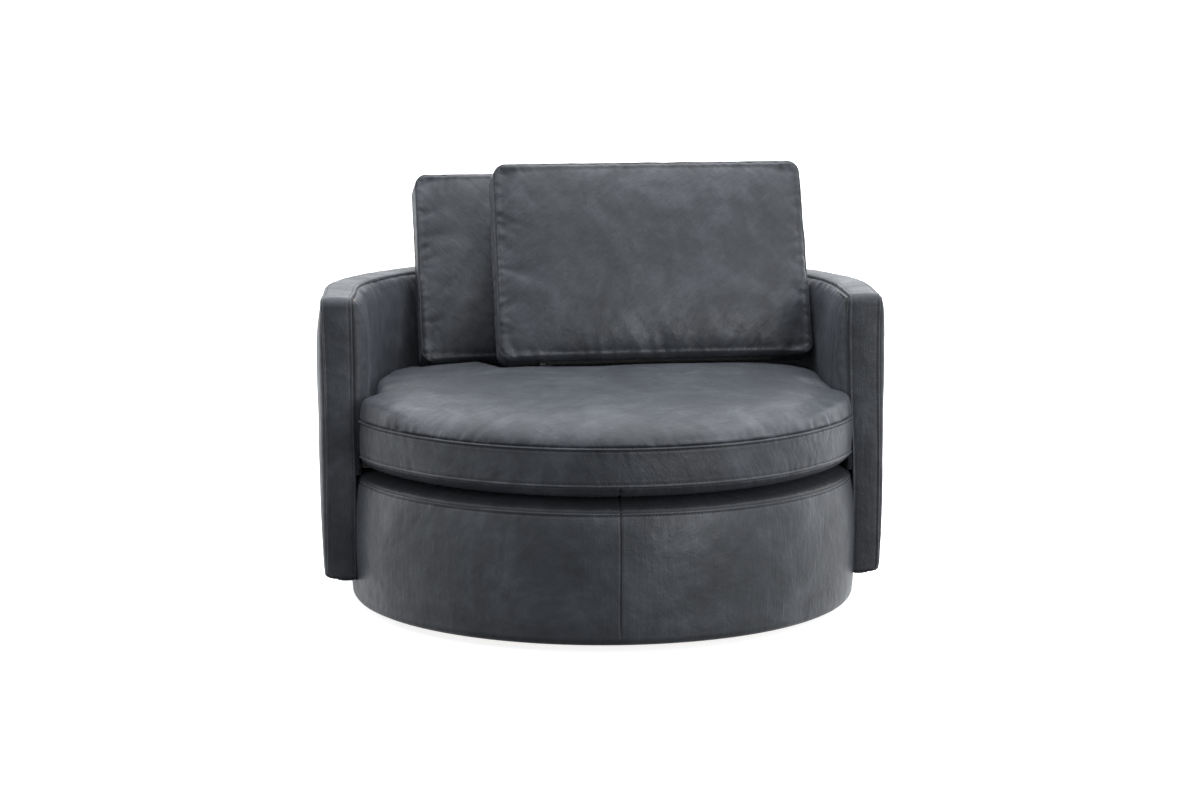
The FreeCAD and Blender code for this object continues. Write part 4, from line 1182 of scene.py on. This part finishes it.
# ------------------------------------------------------------------ seat cushion
def under_backs(x, y):
    """How high the seat may come below the back cushions."""
    z = np.full(np.shape(x), 9e3)
    for tag, (face, lean) in CUSHIONS.items():
        along, up, back = cushion_frame(lean)
        c = face + back * (CUSH_TE / 2)
        zp = c[2] + (-CUSH_H / 2 - 7.6 - (x - c[0]) * up[0] - (y - c[1]) * up[1]) / up[2]
        depth = (x - c[0]) * back[0] + (y - c[1]) * back[1] + (zp - c[2]) * back[2]
        wide = np.abs((x - c[0]) * along[0] + (y - c[1]) * along[1] + (zp - c[2]) * along[2]) - CUSH_W / 2 - 3
        zp = zp + np.clip(-CUSH_TE / 2 - 3 - depth, 0, None) * 2.0 + np.clip(wide, 0, None) * 1.6
        z = np.minimum(z, zp)
    return z


half = []
for a in np.radians(np.linspace(0, 75, 120)):
    r = SEAT_R + 9 * float(smooth(math.degrees(a), 50, 74))
    half.append((r * math.sin(a), -r * math.cos(a)))
half += [(503, -127), (494, -119), (484, -111), (477, -99), (473.5, -82), (472, -40), (472, 0), (472, 60)]
half += [(472 * math.cos(t), 60 + 472 * math.sin(t)) for t in np.linspace(0, math.pi / 2, 90)[1:]]
half = np.array(half)
full_line = np.concatenate([half[:-1], (half * [-1, 1])[::-1][:-1]])


def even(points, spacing):
    """The closed line through the points at the given spacing, smoothed a little."""
    p = np.concatenate([points, points[:1]])
    at = np.concatenate([[0], np.cumsum(np.linalg.norm(np.diff(p, axis=0), axis=1))])
    n = int(at[-1] / spacing)
    t = np.arange(n) * at[-1] / n
    out = np.stack([np.interp(t, at, p[:, 0]), np.interp(t, at, p[:, 1])], -1)
    for _ in range(3):
        out = 0.25 * np.roll(out, 1, 0) + 0.5 * out + 0.25 * np.roll(out, -1, 0)
    return out, t, at[-1]


line, at, seat_len = even(full_line, 4.2)
tang = np.roll(line, -1, 0) - np.roll(line, 1, 0)
tang /= np.linalg.norm(tang, axis=1, keepdims=True)
out_n = np.stack([tang[:, 1], -tang[:, 0]], -1)
out_n *= np.sign((out_n * line).sum())
face_angle = np.degrees(np.abs(np.arctan2(line[:, 0], -line[:, 1])))
Bn = np.linalg.norm(line, axis=1)
dome_r = 514.0 + 84.0 * smooth(face_angle, 44, 78)
radial = line / Bn[:, None]
square = np.clip(np.abs((radial * out_n).sum(1)), 0.25, 1)
fixed = steps([(0.0, 0.6), (80.0, 5.5)], 5.5)
rest = np.linspace(0, 1, 78)[1:]
nd = len(fixed) + len(rest)
rho_f = 1 - np.concatenate([np.linspace(0, 0.5, 120) ** 3, np.linspace(0.125, 1, 120)[1:]])
top = np.zeros((len(line), nd, 3))
Dt = np.zeros((len(line), nd))
for k in range(len(line)):
    r = Bn[k] * rho_f
    x, y = line[k, 0] * rho_f, line[k, 1] * rho_f
    high = CROWN - 0.5 + 8.5 * smooth(y, -170, 90) * smooth(x, -310, -150)
    z = WELT_Z + high * np.sqrt(np.clip(1 - (r / max(dome_r[k], Bn[k])) ** 4, 0, None))
    rim = np.clip((Bn[k] - r) * square[k] / (60.0 - 30.0 * float(smooth(face_angle[k], 50, 72))), 0, 1)
    rim = WELT_Z + 84.0 * np.sqrt(1 - (1 - rim) ** 2) + 300.0 * smooth((Bn[k] - r) * square[k], 30, 130)
    round_ = 20.0 * float(smooth(face_angle[k], 38, 62))
    z = 0.5 * (z + rim - np.sqrt((z - rim) ** 2 + round_**2)) if round_ > 0.5 else np.minimum(z, rim + 6)
    z[0] = WELT_Z
    lim = under_backs(x, y)
    z = 0.5 * (z + lim - np.sqrt((z - lim) ** 2 + 5.0**2)) if (lim < z + 60).any() else z
    z = np.maximum(z, WELT_Z)
    ds = np.hypot(np.diff(r), np.diff(z))
    sd = np.concatenate([[0], np.cumsum(ds)])
    want = np.concatenate([fixed, fixed[-1] + rest * (sd[-1] - fixed[-1])])
    q = np.interp(want, sd, rho_f)
    top[k, :, 0], top[k, :, 1] = line[k, 0] * q, line[k, 1] * q
    top[k, :, 2] = np.interp(want, sd, z)
    Dt[k] = want
top[:, -1] = top[:, -1].mean(0)
St = np.broadcast_to(at[:, None], Dt.shape)
n = normals_of(np.concatenate([top[-2:], top, top[:2]]))[2:-2]
n *= np.sign(n[..., 2].sum())
n[:, -1] = (0, 0, 1)
fine = smooth(Dt, 4, 14)
hh = roll(Dt, 2.6, 2.6)
hh = hh + folds(St, Dt, seat_len, 501, 15.0, 1.9, 30, 0.35, wrap=True) * smooth(Dt, 0, 5)
hh = hh + folds(St, Dt, seat_len, 502, 40, 2.0, 90, 0.4, (0.12, 0.24), wrap=True) * smooth(Dt, 0, 5)
hh = hh + fine * (2.0 * fbm(503, top[..., 0], top[..., 1], 0.0, 150.0, 3) + 0.35 * fbm(504, top[..., 0], top[..., 1], 0.0, 32.0, 2))
# a few stronger ripples beside the right arm, and softer ones beside the left
for x0, y0, sgn, amp in ((452.0, -60.0, 1, 3.0), (-452.0, -50.0, -1, 1.6)):
    dx, dy = top[..., 0] - x0, top[..., 1] - y0
    wave = np.sin((dy + 0.25 * sgn * dx) * 2 * math.pi / 17.0)
    hh = hh + amp * wave * np.exp(-((dx / 42.0) ** 2) - (dy / 42.0) ** 2) * fine
room = under_backs(top[..., 0], top[..., 1]) - top[..., 2]
hh = np.where(room < 12, np.minimum(hh, np.clip(room, 0, 3)), hh)
seat_top = top + n * hh[..., None]
S = 0.3 * shade_roll(Dt)
ob = mesh("seat_top_leather", seat_top, grid_faces(*Dt.shape, wrap=True), "seat_cushion", M["seat"],
          np.stack([top[..., 1], top[..., 0], top[..., 2]], -1), S, ("seat_top_panel", "seat_core"), flip=False)

# border, between its two seams
tall = WELT_Z - LOW_SEAM_Z
dz = steps([(0.0, 0.6), (tall, 0.6)], 4.6)
front_w = 1 - smooth(line[:, 1], -150, -60)
rear_w = smooth(line[:, 1], 0, 120)
zc = WELT_Z - dz
Db, Sb = np.meshgrid(dz, at, indexing="xy")
hb = 2.0 * lip(Db) * (Db < 40) + lip(tall - Db) * (Db >= 40)
hb = hb + (1.6 * np.sin(math.pi * Db / tall) ** 0.7) * front_w[:, None]
hb = hb + (folds(Sb, Db, seat_len, 511, 13.5, 1.1, 40, 0.22, wrap=True) * smooth(Db, 2, 8)
           + folds(Sb, tall - Db, seat_len, 512, 13.5, 1.1, 40, 0.22, wrap=True) * smooth(tall - Db, 2, 8)
           + folds(Sb, Db, seat_len, 513, 7, 0.4, 9, 0.3, wrap=True) * np.exp(-(((Db - 9) / 6.0) ** 2)))
hb = hb + 1.1 * fbm(514, Sb, Db, 0.0, 90.0, 3) * np.sin(math.pi * Db / tall) ** 0.5
hb = np.where(rear_w[:, None] > 0.02, np.minimum(hb, 0.0) * (1 - 0.6 * rear_w[:, None]) + np.maximum(hb, 0) * (1 - rear_w[:, None]) ** 3 * 0, hb)
off = -0.6 * np.ones_like(Db) + hb
Bx = line[:, 0][:, None] + out_n[:, 0][:, None] * off
By = line[:, 1][:, None] + out_n[:, 1][:, None] * off
border = np.stack([Bx, By, WELT_Z - Db], -1)
S = np.maximum(0.45 * shade_lip(Db) * (Db < 40), shade_lip(tall - Db) * (Db >= 40))
ob = mesh("seat_border_leather", border, grid_faces(*Db.shape, wrap=True), "seat_cushion", M["seat"],
          np.stack([Sb, Db, 0 * Sb], -1), S, ("seat_border", "seat_welt"), flip=False)
nb3 = np.concatenate([out_n, 0 * out_n[:, :1]], -1)
lines, nn = [], []
for dd in (7.0, tall - 7.0):
    k = int(np.argmin(np.abs(dz - dd)))
    keep_ = line[:, 1] < -60
    first = int(np.nonzero(~keep_)[0][0])
    order = np.roll(np.arange(len(line)), -first)
    order = order[keep_[order]]
    lines.append(border[order, k])
    nn.append(nb3[order])
stitches("seat_stitches", lines, nn, "seat_cushion", M["thread"])

# lower panel, curving in under the border to rest flat on the platform
prof = np.array([(0.0, 0.0), (0.6, -0.8), (2.0, -2.2), (6.0, -6.2), (11.0, -11.2), (17.0, -16.2), (25.0, -20.0), (36.0, -22.6),
                 (50.0, -23.8), (66.0, -24.0)])
pd = np.concatenate([[0], np.cumsum(np.hypot(*np.diff(prof, axis=0).T))])
want = steps([(0.0, 0.6), (pd[-1], 5.0)], 5.0)
pin, pz = np.interp(want, pd, prof[:, 0]), np.interp(want, pd, prof[:, 1])
Dl, Sl = np.meshgrid(want, at, indexing="xy")
hl = roll(Dl, 2.2, 2.4) + folds(Sl, Dl, seat_len, 521, 14, 1.0, 30, 0.3, wrap=True) * smooth(Dl, 1, 6) * (1 - smooth(Dl, 34, 50))
cx = np.minimum(np.abs(line[:, 0]), 40) * (line[:, 1] < 0) + 40 * (line[:, 1] >= 0)
hl = hl + roll(cx, 2.2, 2.2)[:, None] * smooth(Dl, 2, 8)
slope = np.gradient(pz, want)
nin = np.sqrt(np.clip(1 - slope**2, 0, 1))
offl = -pin[None, :] + hl * (-slope)[None, :]
zl = LOW_SEAM_Z + pz[None, :] - hl * nin[None, :]
low = np.stack([line[:, 0][:, None] + out_n[:, 0][:, None] * offl, line[:, 1][:, None] + out_n[:, 1][:, None] * offl, zl], -1)
flat = np.linspace(1, 0, 12)[1:]
edge = low[:, -1]
inner_ = np.stack([edge * np.array([q, q, 1.0]) for q in flat], 1)
low = np.concatenate([low, inner_], 1)
low[..., 2] = np.maximum(low[..., 2], 301.8)
D2 = np.concatenate([Dl, np.full((len(line), len(flat)), 80.0)], 1)
S2 = np.broadcast_to(at[:, None], D2.shape)
S = np.maximum(shade_roll(D2), shade_roll(cx)[:, None] * np.ones_like(D2))
ob = mesh("seat_lower_leather", low, grid_faces(*D2.shape, wrap=True), "seat_cushion", M["seat"],
          np.stack([S2, D2, 0 * D2], -1), S, ("seat_bottom_panel",), flip=False)

stitches("shell_stitches", threads_shell, threads_shell_n, "chair", M["thread"])
stitches("drum_stitches", seam_lines, seam_normals, "chair", M["thread"])

# ------------------------------------------------------------------ floor, light and camera
floor_me = bpy.data.meshes.new("floor")
n = 41
xs = np.sign(np.linspace(-1, 1, n)) * 160.0 * np.abs(np.linspace(-1, 1, n)) ** 3
fx, fy = np.meshgrid(xs, xs, indexing="ij")
fz = -0.0005 + 0 * fx
floor_me.from_pydata(np.stack([fx, fy, fz], -1).reshape(-1, 3).tolist(), [], grid_faces(n, n).tolist())
floor_me.update()
floor = bpy.data.objects.new("floor", floor_me)
bpy.context.scene.collection.objects.link(floor)
fm, nt, p = nodes_of("studio_floor")
obj = nt.nodes.new("ShaderNodeTexCoord").outputs["Object"]
fn = noise(nt, obj, 3.0, 3.0)
nt.links.new(ramp(nt, fn, [(0.0, (0.90, 0.90, 0.90)), (1.0, (0.93, 0.93, 0.93))]), p.inputs["Base Color"])
p.inputs["Roughness"].default_value = 0.9
p.inputs["Specular IOR Level"].default_value = 0.1
p.inputs["Emission Color"].default_value = (1.0, 1.0, 1.0, 1)
p.inputs["Emission Strength"].default_value = 0.8
floor_me.materials.append(fm)
floor.visible_diffuse = False
floor.visible_glossy = False

world = bpy.data.worlds.new("studio")
bpy.context.scene.world = world
world.use_nodes = True
nt = world.node_tree
nt.nodes.clear()
wo = nt.nodes.new("ShaderNodeOutputWorld")
bg = nt.nodes.new("ShaderNodeBackground")
gen = nt.nodes.new("ShaderNodeTexCoord").outputs["Generated"]
sep = nt.nodes.new("ShaderNodeSeparateXYZ")
nt.links.new(gen, sep.inputs[0])
# brighter above, behind and to the right than in front, as in a studio tent with a dark camera side
up_ = calc(nt, "MAXIMUM", sep.outputs[2], 0.0)
right_ = calc(nt, "MAXIMUM", sep.outputs[0], 0.0)
left_ = calc(nt, "MAXIMUM", calc(nt, "SUBTRACT", calc(nt, "MULTIPLY", sep.outputs[0], -1.0), 0.5), 0.0)
behind = calc(nt, "MULTIPLY", calc(nt, "ADD", sep.outputs[1], 0.2), 1.1, clamp=True)
strength = calc(nt, "MULTIPLY_ADD", up_, 1.1, 0.06)
strength = calc(nt, "MULTIPLY_ADD", right_, 1.12, strength)
strength = calc(nt, "MULTIPLY_ADD", left_, 1.6, strength)
strength = calc(nt, "MULTIPLY_ADD", behind, 1.05, strength)
# the floor side gives back less than the tent does
low_ = calc(nt, "MULTIPLY_ADD", calc(nt, "MINIMUM", sep.outputs[2], 0.0), 0.8, 1.0)
strength = calc(nt, "MULTIPLY", strength, low_)
bg.inputs["Color"].default_value = (0.97, 0.985, 1.0, 1)
nt.links.new(strength, bg.inputs["Strength"])
white = nt.nodes.new("ShaderNodeBackground")
white.inputs["Color"].default_value = (1.0, 1.0, 1.0, 1)
seen = nt.nodes.new("ShaderNodeLightPath")
mix = nt.nodes.new("ShaderNodeMixShader")
nt.links.new(seen.outputs["Is Camera Ray"], mix.inputs[0])
nt.links.new(bg.outputs[0], mix.inputs[1])
nt.links.new(white.outputs[0], mix.inputs[2])
nt.links.new(mix.outputs[0], wo.inputs[0])


def area(name, place, target, size, power, colour=(1, 1, 1)):
    d = bpy.data.lights.new(name, "AREA")
    d.shape = "RECTANGLE"
    d.size, d.size_y = size
    d.energy = power
    d.color = colour
    o = bpy.data.objects.new(name, d)
    o.location = place
    o.visible_glossy = name == "side_right"
    v = Vector(target) - Vector(place)
    o.rotation_euler = v.to_track_quat("-Z", "Y").to_euler()
    bpy.context.scene.collection.objects.link(o)
    return o


area("overhead", (0.2, -0.25, 3.4), (0, 0.1, 0.5), (3.2, 2.2), 112)
area("side_right", (2.9, -4.6, 1.4), (0.1, -0.1, 0.4), (2.2, 2.2), 68)

cam = bpy.data.cameras.new("camera")
cam.lens = 90.0
cam.sensor_width = 36.0
cam_ob = bpy.data.objects.new("camera", cam)
cam_ob.location = (-0.4260, -6.1753, 1.368)
cam_ob.rotation_euler = (math.radians(81.291), 0.0, math.radians(-3.9))
bpy.context.scene.collection.objects.link(cam_ob)
bpy.context.scene.camera = cam_ob
bpy.context.scene.view_settings.view_transform = "Standard"
bpy.context.scene.view_settings.look = "None"
bpy.context.scene.view_settings.exposure = 0.0

bpy.context.view_layer.update()
